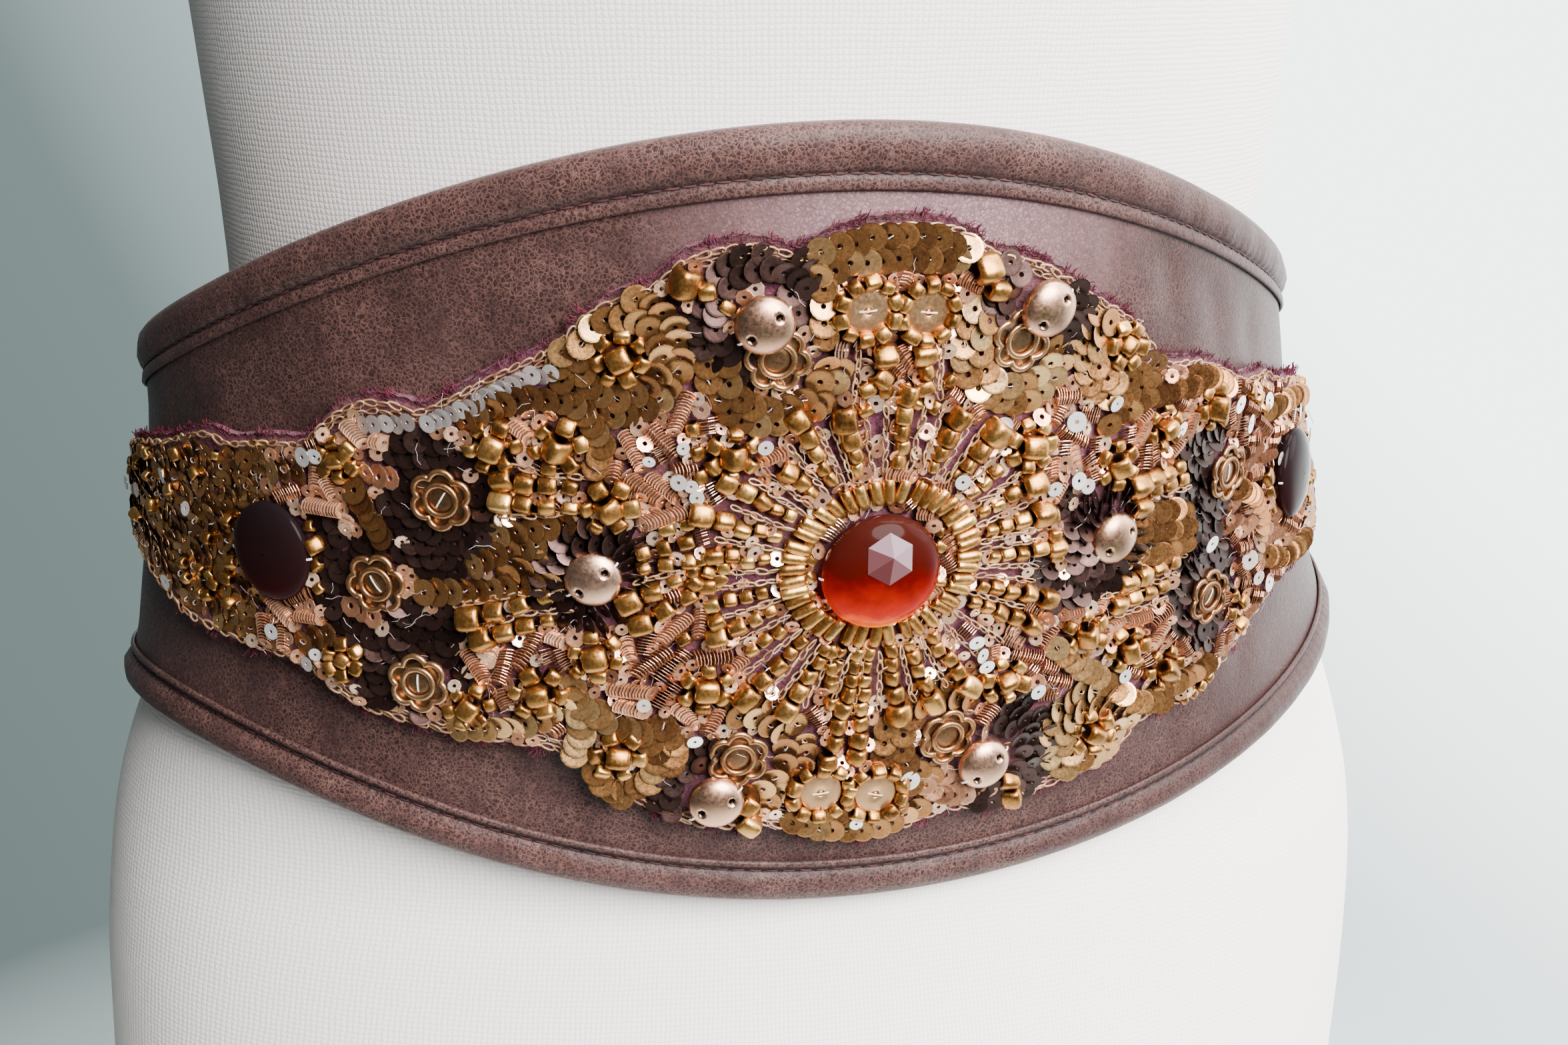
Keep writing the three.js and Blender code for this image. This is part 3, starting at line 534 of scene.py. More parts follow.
def binding(name, sizes, inward, leg, stitch):
    """The folded strip: a padded roll over the edge, sewn down through a sunk line, with its raw edge lying flat.
    Its section runs from the outer leg's end over the edge to the inner leg and back: depths are the distances in
    from the edge, outs how far out, dips how far the stitching pulls in and lifts how far the roll is uneven."""
    angles = panel_angles(901)
    along = along_with_lap(angles)
    pucker = 0.5 + 0.5 * np.cos(2 * math.pi * along / STITCH_STEP)
    slow = 0.12 * np.sin(along * 0.23 + inward) + 0.08 * np.sin(along * 0.61)
    depths = np.array([leg, leg, leg - 0.5, leg - 1.2, stitch + 0.9, stitch + 0.35, stitch, stitch - 0.45, stitch - 1.3,
                       stitch * 0.6, stitch * 0.36, stitch * 0.16, 0.35, 0.0, 0.15, 0.9, 2.4, INNER_LEG,
                       INNER_LEG, BRIDGE, 1.5, 1.5, BRIDGE + 0.4])
    crown = 0.55
    outs = np.array([0.28, 0.75, 1.05, 1.0, 0.95, 0.7, 0.35, 0.75, 1.25, BINDING_OUT + crown,
                     BINDING_OUT + crown * 0.7, BINDING_OUT - 0.05, 0.45, -1.0, -2.5, BINDING_IN, BINDING_IN,
                     BINDING_IN, BINDING_IN + 1, BINDING_IN + 1, BINDING_IN + 1.2, 0.2, 0.25])
    dips = np.array([0, 0.05, 0.1, 0.15, 0.2, 0.5, 1.0, 0.55, 0.25, 0.12, 0.05] + [0] * 12)
    lifts = np.array([0, 0, 0, 0.2, 0.3, 0, 0, 0.2, 0.8, 1.0, 0.8, 0.4] + [0] * 11)
    out = outs[None] - 0.38 * dips[None] * (1 - pucker[:, None]) + lifts[None] * slow[:, None]
    height = edge(sizes, angles)[:, None] - inward * depths[None]
    points = belt(angles[:, None], height, out)
    body = grid_faces(len(angles), len(depths), wrap_columns=True)
    if inward > 0:
        body = body[:, ::-1]
    n = len(depths)
    ends = np.stack([np.zeros(n - 2, int), np.arange(1, n - 1), np.arange(2, n)], -1)
    last = (len(angles) - 1) * n + ends
    caps = [ends, last[:, ::-1]] if inward > 0 else [ends[:, ::-1], last]
    # own is painted shade along the sunk stitched line, stronger and weaker in step with the stitches
    sunk = np.array([0, 0, 0, 0, 0.1, 0.55, 1.0, 0.5, 0.08] + [0] * (n - 9))
    own = (sunk[None] * (0.45 + 0.55 * pucker[:, None])).ravel()
    return make(name, points.reshape(-1, 3), [body, *caps], leather_worn, own=own)


top_binding = binding("binding_top", TOP_EDGE, 1, TOP_LEG, TOP_STITCH)
bottom_binding = binding("binding_bottom", BOTTOM_EDGE, -1, BOTTOM_LEG, BOTTOM_STITCH)
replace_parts(top_binding, "top_binding")
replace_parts(bottom_binding, "bottom_binding")

# Topstitching: short dark red stitches lying in the sunk line
stitches = Batch()
dash = tube([[-1.15, 0, -0.12], [-0.7, 0, 0.08], [0, 0, 0.13], [0.7, 0, 0.08], [1.15, 0, -0.12]], 0.2, 5)
for sizes, inward, depth in ((TOP_EDGE, 1, TOP_STITCH), (BOTTOM_EDGE, -1, BOTTOM_STITCH)):
    along = (np.arange(-117, 117) + 0.5) * STITCH_STEP
    angle = angle_of(along)
    height = edge(sizes, angle) - inward * depth
    rise = np.gradient(height, along)
    stitches.put(dash, along, height, 0.42, spin=np.arctan(rise) + rng.normal(0, 0.06, along.size),
                 tone=rng.random(along.size))
stitches.done("thread_topstitch", stitch_red, "leather")


# Applique

TOP_OUTLINE = np.array([
    (0, 67.3, 67.3), (8, 66.8, 66.5), (13, 65.8, 64), (17.5, 64, 61), (21, 62.3, 60.6), (28, 64.3, 58.8),
    (35, 63.6, 55.4), (41, 61.6, 51.8), (45.5, 57.2, 49.8), (49, 55.8, 48), (54, 54.2, 44.9), (59, 50.2, 39.5),
    (62, 46.2, 36.7), (67, 43.7, 36.3), (72, 41.3, 35.9), (79, 37.2, 34.2), (86, 33.5, 31.2), (91, 34.6, 29),
    (96, 34.9, 28.9), (102, 33, 29.2), (106, 29, 27.5), (110, 25.3, 25.8), (118, 25, 24.8), (128, 23.3, 22.6),
    (134, 24.6, 22), (140, 23.2, 19.5), (150, 20, 17.8), (160, 18.2, 16.4), (172, 15.5, 14.5), (182, 12, 11.5),
    (188, 8, 7.5), (191, 4, 4),
])
BOTTOM_OUTLINE = np.array([
    (0, -57, -57), (6, -55.8, -56.7), (12.5, -53, -54.4), (17, -51.5, -53.2), (24, -51.8, -54), (31, -50.1, -53.2),
    (38, -46.2, -51.6), (45, -41.6, -50.4), (50, -36.6, -49.2), (55, -33.8, -43), (58, -33.2, -40.8),
    (65, -32.2, -40.4), (73, -31.4, -38), (80, -30, -33.4), (86, -28.8, -29), (92, -27.4, -24.6), (98.5, -24.6, -21),
    (104, -20.6, -19.2), (110, -19.1, -18), (120, -17.9, -16.6), (130, -16.6, -15.2), (137, -15.8, -13.5),
    (145, -13.2, -11), (155, -9.6, -8), (166, -5.5, -5), (176, -2, -2), (185, 1, 1), (191, 3.5, 3.5),
])
APPLIQUE_END = 190.4


def outline(table, along):
    left = np.interp(-along, table[:, 0], table[:, 1])
    right = np.interp(along, table[:, 0], table[:, 2])
    return np.where(along < 0, left, right)


def inset(along, height):
    """Distance in from the applique's outline, roughly."""
    return np.minimum.reduce([
        outline(TOP_OUTLINE, along) - height, height - outline(BOTTOM_OUTLINE, along), APPLIQUE_END - abs(along),
    ])


# Stones: name, along, height, radius, rise, width over height
STONES = [("stone_centre", -0.8, 2.6, 11.3, 6.4, 1.0), ("stone_left", -114.2, 3.6, 9.7, 3.6, 0.9),
          ("stone_right", 110.8, 4.2, 9.7, 3.6, 0.9)]
# Domes: name, along, height, and 1 where it sits over a cap
DOMES = [("dome_upper_left", -26.3, 50.6, 1), ("dome_upper_right", 28.2, 51, 1), ("dome_middle_left", -52.3, 2.7, 0),
         ("dome_middle_right", 49, 2.6, 0), ("dome_lower_left", -26.2, -43.5, 1), ("dome_lower_right", 22, -41.3, 1)]
# Flower caps and coins: name, along, height
CAPS = [("flower_cap_" + name, a, h) for name, a, h in (
    ("upper_left", -23.2, 43.5), ("upper_right", 24.1, 44.7), ("lower_left", -22.9, -35.6),
    ("lower_right", 15.4, -35.2), ("wing_left", -81, 16.8), ("wing_right", 82.3, 10.4), ("side_left", -92.2, -0.6),
    ("hem_left", -82, -20), ("hem_right", 75.5, -16))]
COINS = [("coin_upper_left", -7.5, 52), ("coin_upper_right", 4, 51.3), ("coin_lower_left", -7.5, -44.2),
         ("coin_lower_right", 2.5, -45.8)]

# Rays of beads growing outward from the sunburst's middle: direction in degrees, first and last radius, last size
RAYS = [
    (87, 19.5, 33, 4.2), (108, 19.5, 29, 4.8), (122, 20, 33, 4.6), (134, 20, 28.5, 4.6), (149, 20, 33, 4.6),
    (161, 20.5, 34, 5.0), (174, 21, 30, 3.4), (192, 21, 31, 3.4), (204, 20.5, 32, 4.8), (216, 21, 27, 3.0),
    (229, 19.5, 33, 4.8), (243, 18.5, 32.5, 4.6), (252, 18, 26, 3.2), (261, 18, 42, 4.4), (267.5, 18, 42, 4.0),
    (279, 18, 31, 4.6), (291, 18, 31, 4.6), (303, 19, 32, 4.6), (331, 20.5, 35.5, 4.8), (341, 20.5, 37, 5.4),
    (358, 21, 34, 4.2), (12, 20.5, 33, 5.4), (25, 20, 30, 5.0), (38, 20, 27, 3.2), (51, 20, 30, 5.0),
    (67, 19.5, 30, 4.8),
]
# Single beads: along, height, size
BEADS = [
    (-3.5, 43.5, 4.8), (-3.8, 39.4, 4.0), (-6.2, 37.3, 3.2), (-2.4, 37, 2.8), (-6.0, 33.4, 2.8), (4, 43.6, 4.6),
    (5.1, 40, 3.2), (5, 37, 3.2), (4, 34, 2.4), (1.2, 37.2, 2.6), (-12.8, 54.5, 3), (-13.2, 49.5, 2.6),
    (-36.5, 56, 3.8), (-33, 53, 3.2), (-40.5, 57.6, 5.2), (15, 58.6, 5.4), (17.8, 54.4, 4.3),
    (-20, -46, 4.2), (-19.6, -50, 4.8), (28, -47.6, 4.0), (28.6, -51.4, 4.6), (-14, 8.6, 2.6), (-13.4, 5, 2.6),
    (-13.5, 1.6, 2.6), (-12.8, -2, 2.4), (11, 5.6, 2.6), (11.6, -1.6, 2.6), (10.8, 8.6, 2.4),
    (-105.5, 5.5, 3.6), (-107, 9, 2.6), (-104.8, 1.6, 2.8), (-104, -3, 2.6), (-125, -1, 3.0), (-126, -4.5, 2.8),
    (-100, 24, 3.4), (-103.5, 21.5, 3.0), (-98, 21.5, 3.0), (98.5, 6, 3.8), (100, 2.4, 2.8), (101, -2, 2.8),
    (92, 26, 3.2), (95, 24, 3.4), (97.5, 21.5, 3.2), (84, -18, 3.0), (86.5, -20, 3.2), (85, -25, 3.6), (83, -22, 2.8),
    (68, -38.5, 2.4), (70.5, -37.8, 2.4), (73, -36.6, 2.4), (75.3, -35.2, 2.4),
]
# Straight rows of beads: from, to, number, first and last size
BEAD_ROWS = [
    (-70, 21, -57.8, 20, 4, 4.2, 3.2), (-70, 17, -57.6, 16, 4, 4.4, 3.0), (-73.8, -6, -60.4, -1.6, 4, 4.8, 3.0),
    (-71, -10, -59.6, -6, 4, 4.8, 3.0), (-44, 7.4, -36.4, 9.4, 3, 3.0, 3.2), (-43.6, 4.4, -35.6, 5.6, 3, 3.0, 3.2),
    (-45.6, -2, -37.6, 1.6, 3, 4.6, 3.0), (-43, -6.4, -35, -1.4, 3, 4.8, 3.2), (-35, -10, -29.6, -6.6, 2, 3.0, 3.6),
    (53, -8, 65.4, -6, 4, 4.2, 3.0), (50.6, -12.2, 62.4, -10.8, 4, 4.2, 3.2), (54.6, 12.6, 66.4, 14.4, 4, 5.2, 3.2),
    (59.4, 11, 67.8, 11.6, 3, 3.4, 3.0), (55.6, 8, 55.6, 8, 1, 4.6, 4.6), (-40, 12, -33, 14, 3, 2.8, 3.0),
    (-37, 31, -35, 22, 3, 3.0, 2.8), (36, 1, 34.6, 9, 3, 3.2, 3.0), (-8, -14, -7, -25, 4, 2.8, 3.0),
    (10, 38, 7.6, 33, 2, 2.6, 2.6),
]
# Flowers of beads: along, height, middle size, petals, petal size
FLOWERS = [
    (-50.8, 44, 4.8, 7, 3.2), (-29.5, 25.8, 4.6, 6, 3.0), (-50.8, 16.2, 4.8, 6, 3.2), (-72.2, 27.2, 4.8, 6, 3.2),
    (-60.6, 27.4, 4.8, 6, 3.2), (-50.4, -13.4, 4.8, 6, 3.2), (-59.8, -21, 4.8, 6, 3.4), (-72, -24.6, 4.4, 6, 3.0),
    (-44.2, -34.2, 4.8, 6, 3.2), (-97.4, -17, 3.2, 6, 3.2), (-30, -20.5, 4.6, 6, 3.0), (28.4, 24, 5.0, 7, 3.2),
    (26.4, -24.8, 4.6, 6, 3.2), (43.6, -17.6, 4.8, 6, 3.2), (53.6, -23, 4.8, 6, 3.2), (63.2, -29.8, 4.8, 6, 3.0),
    (45.5, -40.5, 4.6, 6, 3.2), (49.6, 41.4, 3.8, 6, 3.4), (49.6, 17.4, 4.6, 6, 3.2), (62, 23.4, 4.6, 6, 3.0),
    (77.6, 25.4, 4.8, 6, 3.2), (-101.8, 22.8, 3.6, 6, 3.0), (-32, 3.4, 2.6, 7, 3.0),
]
# Rows of overlapping sequins: kind, stations along the row, spacing, radius, tone
SEQUIN_ROWS = [
    ("gold", [(-17, 62.4), (-11, 64), (-4, 65), (4, 64.6), (11, 62)], 3.0, 2.6, 0.45),
    ("gold", [(-17, 58.4), (-10, 60.4), (0, 60.8), (9, 60)], 3.0, 2.6, 0.5),
    ("gold", [(-16, 56), (-15.6, 52), (-14.6, 47)], 2.6, 2.5, 0.3),
    ("gold", [(-77.4, 31.6), (-72, 35), (-66, 36.6), (-60.6, 36)], 2.5, 2.6, 0.45),
    ("gold", [(-58, 35.6), (-55, 32.6), (-52.6, 28), (-53.6, 23.6)], 2.4, 2.5, 0.3),
    ("gold", [(-70, 10.6), (-64, 12), (-58.4, 13)], 2.6, 2.5, 0.6),
    ("gold", [(-74, 4), (-70, 7), (-63, 8.6)], 2.5, 2.5, 0.55), ("gold", [(-67.6, 2.6), (-63, 6)], 2.4, 2.5, 0.35),
    ("gold", [(-83, -1.6), (-76, -1), (-68, 0.4), (-60, 1.4)], 2.6, 2.6, 0.5),
    ("gold", [(-73.6, -29), (-66, -28.4), (-59.4, -27.2), (-53.4, -22)], 2.4, 2.8, 0.8),
    ("gold", [(-53.6, -19.6), (-52, -24), (-51, -29), (-52, -33.4)], 2.0, 2.8, 0.85),
    ("gold", [(-50.6, -24), (-46.4, -27.6), (-41, -29.4)], 2.3, 2.8, 0.55),
    ("gold", [(-40, -29), (-37, -34), (-37.6, -39.6), (-42, -41.4)], 2.2, 2.9, 0.5),
    ("gold", [(-47.6, -37.6), (-45, -40.8), (-42.6, -43)], 2.3, 2.7, 0.6),
    ("gold", [(-36.8, -28), (-34, -32), (-34.6, -36)], 2.0, 2.9, 0.3),
    ("gold", [(-12, -50.6), (-6, -53.2), (0, -54.4), (6, -53.6), (11, -50.8)], 2.7, 2.6, 0.45),
    ("gold", [(-9, -48.6), (-1.6, -50.6), (7, -49.6)], 2.8, 2.4, 0.35),
    ("gold", [(37, -19.6), (42.6, -24.6), (48.6, -29.6), (55, -35.4), (62, -37.4)], 2.5, 2.7, 0.75),
    ("gold", [(61.6, -34.4), (68, -34), (74.4, -31.6)], 2.6, 2.6, 0.7),
    ("gold", [(56, -2.4), (62, -3.6), (68.6, -2.4)], 2.7, 2.5, 0.5),
    ("gold", [(56.4, 2), (62.6, 1.6), (69, 1)], 2.7, 2.5, 0.4),
    ("gold", [(57, 5.6), (63, 5.8), (68, 5)], 2.7, 2.5, 0.45),
    ("gold", [(46.6, 26), (54, 29.4), (62, 31), (70, 30.6)], 2.7, 2.5, 0.35),
    ("gold", [(-98, 17.4), (-94.6, 13), (-92, 8.4)], 2.2, 2.7, 0.25),
    ("gold", [(-116, 19.2), (-110, 19.6)], 2.6, 2.6, 0.5), ("gold", [(-106, -14.4), (-101.4, -12)], 2.8, 2.6, 0.45),
    ("gold", [(71, 32.6), (77, 31.6), (82, 29)], 2.4, 2.5, 0.4),
    ("gold", [(86, 6), (92, 4), (96, -2), (94, -8)], 2.4, 2.5, 0.35),
    ("gold", [(97, -12), (103, -14), (110, -14.4), (118, -13.4)], 1.6, 2.5, 0.4),
    ("gold", [(100, 20), (108, 20.6), (118, 20), (128, 18)], 2.2, 2.6, 0.45),
    ("white", [(-84.6, 31), (-79, 33.6), (-72, 37.4), (-67, 40.4), (-62.6, 41)], 1.7, 1.8, 0.5),
    ("white", [(-96.6, 30), (-91, 30.6), (-88, 31)], 2.0, 1.8, 0.2),
    ("copper", [(-95.6, 21), (-91, 20.4)], 2.2, 2.3, 0.35), ("copper", [(-97, -6), (-92.6, -7.4)], 2.2, 2.3, 0.45),
    ("copper", [(12, -45.6), (15, -48.6), (20, -49.4), (24, -48.4)], 2.3, 2.3, 0.45),
    ("copper", [(14, -42), (17, -46), (22, -47)], 2.2, 2.3, 0.35),
]
# Fans of sequins round a middle: kind, middle, inner and outer radius, from and to in degrees, radius, tone
FANS = [
    ("gold", -23.2, 43.5, 7.6, 12.4, 185, 350, 2.6, 0.5), ("gold", 24.1, 44.7, 7.6, 12.0, 150, 345, 2.6, 0.7),
    ("gold", -22.9, -35.6, 7.6, 12.0, -75, 95, 2.6, 0.4), ("gold", 15.4, -35.2, 7.6, 12.0, 60, 255, 2.6, 0.35),
    ("gold", -50.8, 44, 7.2, 10.5, 0, 360, 2.6, 0.4), ("gold", 49.6, 41.4, 6.8, 10.6, 60, 330, 2.6, 0.35),
    ("dark", -26.3, 51.2, 6.8, 11.4, 30, 250, 2.3, 0.6), ("dark", 28.2, 51, 6.8, 11.0, -60, 190, 2.3, 0.75),
    ("dark", -52.3, 2.7, 6.0, 9.6, 0, 360, 2.2, 0.55), ("dark", 49, 2.6, 6.0, 9.8, 20, 350, 2.2, 0.55),
    ("gold", 45.5, -40.5, 5.6, 9.4, 0, 360, 2.7, 0.7), ("dark", -26.2, -43.5, 6.2, 10.6, 90, 250, 2.1, 0.3),
    ("dark", 22.8, -41.3, 6.6, 13.6, -95, 70, 2.1, 0.35),
]
# Where dark sequins cover the felt: middle, half length, half height
DARK_AREAS = [
    (-82, 14, 11.5, 16.5), (-88, -3, 15.5, 12), (-84, -18, 11.5, 10.5), (-54, 2, 9.5, 10.5), (-30, 56, 11, 7),
    (42, 1, 10.5, 12.5), (32, 54, 9, 7), (33, -41, 7.5, 10.5), (-34, -44, 5.5, 5.5), (76, 10, 8.5, 13),
    (74, -14, 9.5, 13.5), (-104, 4, 4, 8), (-18, 55, 4, 6), (-36, 50, 5, 9),
]
# Loose silver sequins: along, height, radius
SILVER = [
    (-24, 27.6, 1.6), (-38.9, 21.4, 1.7), (-35.4, 18.4, 1.5), (-36.6, 20.6, 1.4), (21.6, 29, 1.8), (14, 18.6, 1.7),
    (37.8, 28, 2.2), (39.4, 16, 1.9), (41.6, 14.6, 1.7), (19.6, -15, 1.8), (21, -18, 1.7), (22, -20.6, 1.8),
    (-31, -31, 1.7), (-0.6, -52, 1.5), (8.6, -43.6, 2.3), (33, -28, 1.9), (-40.8, -23, 1.5), (47.4, 30.4, 1.8),
    (66, 22.6, 1.9), (52.4, -28.6, 1.7), (90.4, 19.6, 2.2), (99, 23, 2.0), (76, -4, 2.1), (88.6, -10.6, 2.4),
    (95.6, -17.8, 2.3), (91.6, -15.6, 1.8), (-108.4, 23, 2.1), (-105.8, 23.4, 1.7), (-104.4, -18.4, 1.7),
    (-102.8, -16.2, 1.4), (86, 24.6, 2.1), (115, 17, 2.2), (120, 16.4, 2.0), (104, 9, 1.6), (-113, -13, 1.8),
    (-38.6, 27.8, 1.3), (-44.4, 25.4, 1.3), (34, 15, 1.7), (-147, 13, 1.8), (-138, 8, 1.6), (-144, -9, 1.7),
    (140, 10, 1.9), (150, 3, 1.8), (158, 9, 1.7), (-160, 7, 1.7), (-170, 6, 1.6), (168, 4, 1.6),
]


def ground_rise(along, height):
    rim = smooth(0, 2.2, inset(along, height))
    lumps = 0.28 * np.sin(along * 1.9 + np.sin(height * 1.3)) * np.sin(height * 2.1 + np.cos(along * 0.9))
    return 0.45 * rim + lumps * rim


def ground():
    """The felt as one closed piece, its outline frayed and its face lumpy under the work."""
    columns, rows = 601, 49
    along = np.linspace(-APPLIQUE_END, APPLIQUE_END, columns)
    ragged = 0.35 * np.sin(along * 2.3) + 0.3 * np.sin(along * 5.1 + 1) + 0.25 * np.sin(along * 9.7)
    low = outline(BOTTOM_OUTLINE, along) - 0.7 - 0.6 * ragged
    high = outline(TOP_OUTLINE, along) + 0.7 + 0.6 * ragged
    share = np.linspace(0, 1, rows)[None]
    height = low[:, None] + (high - low)[:, None] * share
    wide = np.repeat(along[:, None], rows, 1)
    angle = angle_of(wide)
    outer = belt(angle, height, 1.9 + ground_rise(wide, height))
    inner = belt(angle[::4, ::6], height[::4, ::6], 0.42)
    return wall("applique_felt", outer, inner, felt)


def felt_finish():
    m, t, b = material("felt_burgundy")
    where = node(t, "ShaderNodeTexCoord").outputs["Object"]
    weave = noise(t, 1300, 3, 0.7, where)
    patch = noise(t, 90, 4, 0.6, where)
    colour = ramp(t, weave, [(0.3, (0.045, 0.008, 0.018)), (0.55, (0.12, 0.022, 0.05)), (0.75, (0.22, 0.075, 0.085))])
    colour = mix(t, grey(t, patch, 0.4, 0.65, 0.0, 0.5), colour, (0.15, 0.07, 0.05))
    t.links.new(colour, b.inputs["Base Color"])
    b.inputs["Roughness"].default_value = 0.9
    b.inputs["Sheen Weight"].default_value = 0.15
    b.inputs["Sheen Tint"].default_value = (0.8, 0.4, 0.55, 1)
    bump(t, b, weave, 0.9, 0.0006)
    return m


felt = felt_finish()
felt_piece = ground()
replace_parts(felt_piece, "applique_centre", "applique_left", "applique_right")

# Frayed fibres standing out of the outline
fibres = Batch()
fibre = tube([[0, 0, 0], [0.55, 0.12, 0.2], [1.15, -0.08, 0.32]], 0.08, 3)
for table, outward in ((TOP_OUTLINE, 1), (BOTTOM_OUTLINE, -1)):
    count = 3500
    along = rng.uniform(-APPLIQUE_END, APPLIQUE_END, count)
    height = outline(table, along) + outward * rng.uniform(-0.4, 0.9, count)
    tufts = 0.85 + 0.7 * np.sin(along * 0.83) * np.sin(along * 0.31 + 1)
    spin = outward * (math.pi / 2) + rng.normal(0, 0.75, count)
    fibres.put(fibre, along, height, rng.uniform(0.9, 2.4, count), size=rng.uniform(0.6, 1.2, count) * tufts,
               spin=spin, tilt=rng.uniform(-0.5, 0.5, count), tone=rng.random(count))
fibres.done("felt_fray", fray, "sequin_felt")

# Templates

def bead_template():
    """A rounded cube with a drilled hole at each end of its x axis. own is painted shade at its ends, darkest in the
    holes.
    """
    around, rings = 12, 7
    turn = np.linspace(0, 2 * math.pi, around, endpoint=False) + math.pi / around
    lean = np.linspace(-1, 1, rings) * 1.36

    def power(v, e):
        return np.sign(v) * abs(v) ** e

    x = 0.5 * power(np.sin(lean), 0.62)[:, None] + 0 * turn[None]
    r = 0.47 * power(np.cos(lean), 0.34)[:, None]
    y, z = r * power(np.cos(turn), 0.58)[None], r * power(np.sin(turn), 0.58)[None]
    points = np.stack([x, y, z], -1).reshape(-1, 3)
    n = len(points)
    points = np.concatenate([points, [[-0.3, 0, 0], [0.3, 0, 0]]])
    # own is painted shade: it rises toward the bead's ends and is highest at the hole tips
    own = np.concatenate([np.repeat(abs(lean) / 1.36, around) ** 4, [1.3, 1.3]])
    ends = [fan(n, 0, around)[:, ::-1], fan(n + 1, n - around, around)]
    return points, [grid_faces(rings, around, wrap_columns=True), *ends], own


def sequin_template(hole, sides, cup, thick, shade_strength):
    """A slightly cupped disc of radius 1 with a punched hole. own is painted shade at its rim and round its hole."""
    profile = [(hole, -thick), (hole * 1.2, cup * 0.2), (0.86, cup), (1.0, cup * 0.7), (1.0, cup * 0.7 - thick)]
    rim_and_hole_shade = [1.1, 0.8, 0.1, 1.0, 1.15]
    points, faces, _ = lathe(profile, sides)
    n = len(profile)
    i = np.arange(sides)
    j = (i + 1) % sides
    ring = np.stack([i + (n - 1) * sides, j + (n - 1) * sides, j, i], -1)
    return points, [faces[0], ring[:, ::-1]], np.repeat(rim_and_hole_shade, sides) * shade_strength


bead = bead_template()
flat_sequin = sequin_template(0.17, 16, 0.03, 0.06, 1.0)
small_sequin = sequin_template(0.24, 9, 0.04, 0.09, 0.78)
turn = np.linspace(0, 2 * math.pi, 10, endpoint=False)
chain_link = tube(np.stack([1.75 * np.cos(turn), 0.62 * np.sin(turn) * (1 + 0.3 * np.cos(turn)), 0 * turn], -1),
                  0.26, 4, closed=True)
knot = tube([[-0.55, 0, -0.3], [-0.3, 0.05, 0.12], [0.1, -0.05, 0.2], [0.5, 0.05, 0.08], [0.8, 0, -0.3]], 0.1, 4)

beads, bugles, golds, coppers, darks, whites, chains, wisps = (Batch() for _ in range(8))
# How far along the copper work goes, where the ends' gold work starts, and the lowest and highest work
COPPER_END, GOLD_FROM, LOWEST, HIGHEST = 124, 118, -57, 67
# A full turn, for random directions
AROUND = 6.28

# How far each place on the felt is from what already sits there, in cells from a corner, up to FAR
CELL, FAR = 0.3, 9.0
FIELD_LOW = (-192.0, -60.0)
field = np.full((1280, 434), FAR)


def take(along, height, radius):
    """Marks round places as taken."""
    along, height, radius = (np.ravel(v) for v in np.broadcast_arrays(np.asarray(along, float), height, radius))
    reach = 3.0
    for a, h, r in zip(along, height, radius):
        i0, i1 = (int((a + s * (r + reach) - FIELD_LOW[0]) / CELL) for s in (-1, 1))
        j0, j1 = (int((h + s * (r + reach) - FIELD_LOW[1]) / CELL) for s in (-1, 1))
        i, j = np.arange(max(i0, 0), min(i1 + 1, field.shape[0])), np.arange(max(j0, 0), min(j1 + 1, field.shape[1]))
        gap = np.hypot((i * CELL + FIELD_LOW[0] - a)[:, None], (j * CELL + FIELD_LOW[1] - h)[None]) - r
        part = field[i[0]:i[-1] + 1, j[0]:j[-1] + 1]
        np.minimum(part, gap, out=part)


def free(along, height):
    """Distance from each place to what is taken."""
    i = np.clip(((along - FIELD_LOW[0]) / CELL + 0.5).astype(int), 0, field.shape[0] - 1)
    j = np.clip(((height - FIELD_LOW[1]) / CELL + 0.5).astype(int), 0, field.shape[1] - 1)
    return field[i, j]


def add_beads(along, height, size, spin=None, lift=0.0):
    along, height, size = (np.atleast_1d(np.asarray(v, float)) for v in np.broadcast_arrays(along, height, size))
    n = along.size
    spin = rng.uniform(0, math.pi, n) if spin is None else np.broadcast_to(spin, (n,)) + rng.normal(0, 0.12, n)
    stretch = rng.normal(0.97, 0.06, (n, 3)).clip(0.84, 1.1)
    beads.put(bead, along, height, FELT_OUT + 0.42 * size + lift, size, spin, rng.normal(0, 0.1, n),
              rng.uniform(0, math.pi / 2, n), np.clip(rng.normal(0.45, 0.2, n), 0, 1), stretch)
    take(along, height, size * 0.45)


def add_sequins(kind, along, height, radius, spin, tilt, out, tone, block):
    batch = {"gold": golds, "copper": coppers, "dark": darks, "white": whites}[kind]
    n = len(along)
    template = small_sequin if kind == "copper" else flat_sequin
    batch.put(template, along, height, out, radius, spin, tilt, rng.normal(0, 0.11, n),
              np.clip(tone + rng.normal(0, 0.2, n), 0, 1))
    take(along, height, np.asarray(radius) * block)
    if kind == "gold":
        some = rng.random(n) < 0.22
        m = some.sum()
        lift = (np.asarray(out) + 0.22) * np.ones(n)
        wisps.put(knot, along[some], height[some], lift[some], rng.uniform(0.8, 1.25, m),
                  (spin + math.pi + 0 * along)[some] + rng.normal(0, 0.4, m), 0.0, 0.0, rng.random(m))


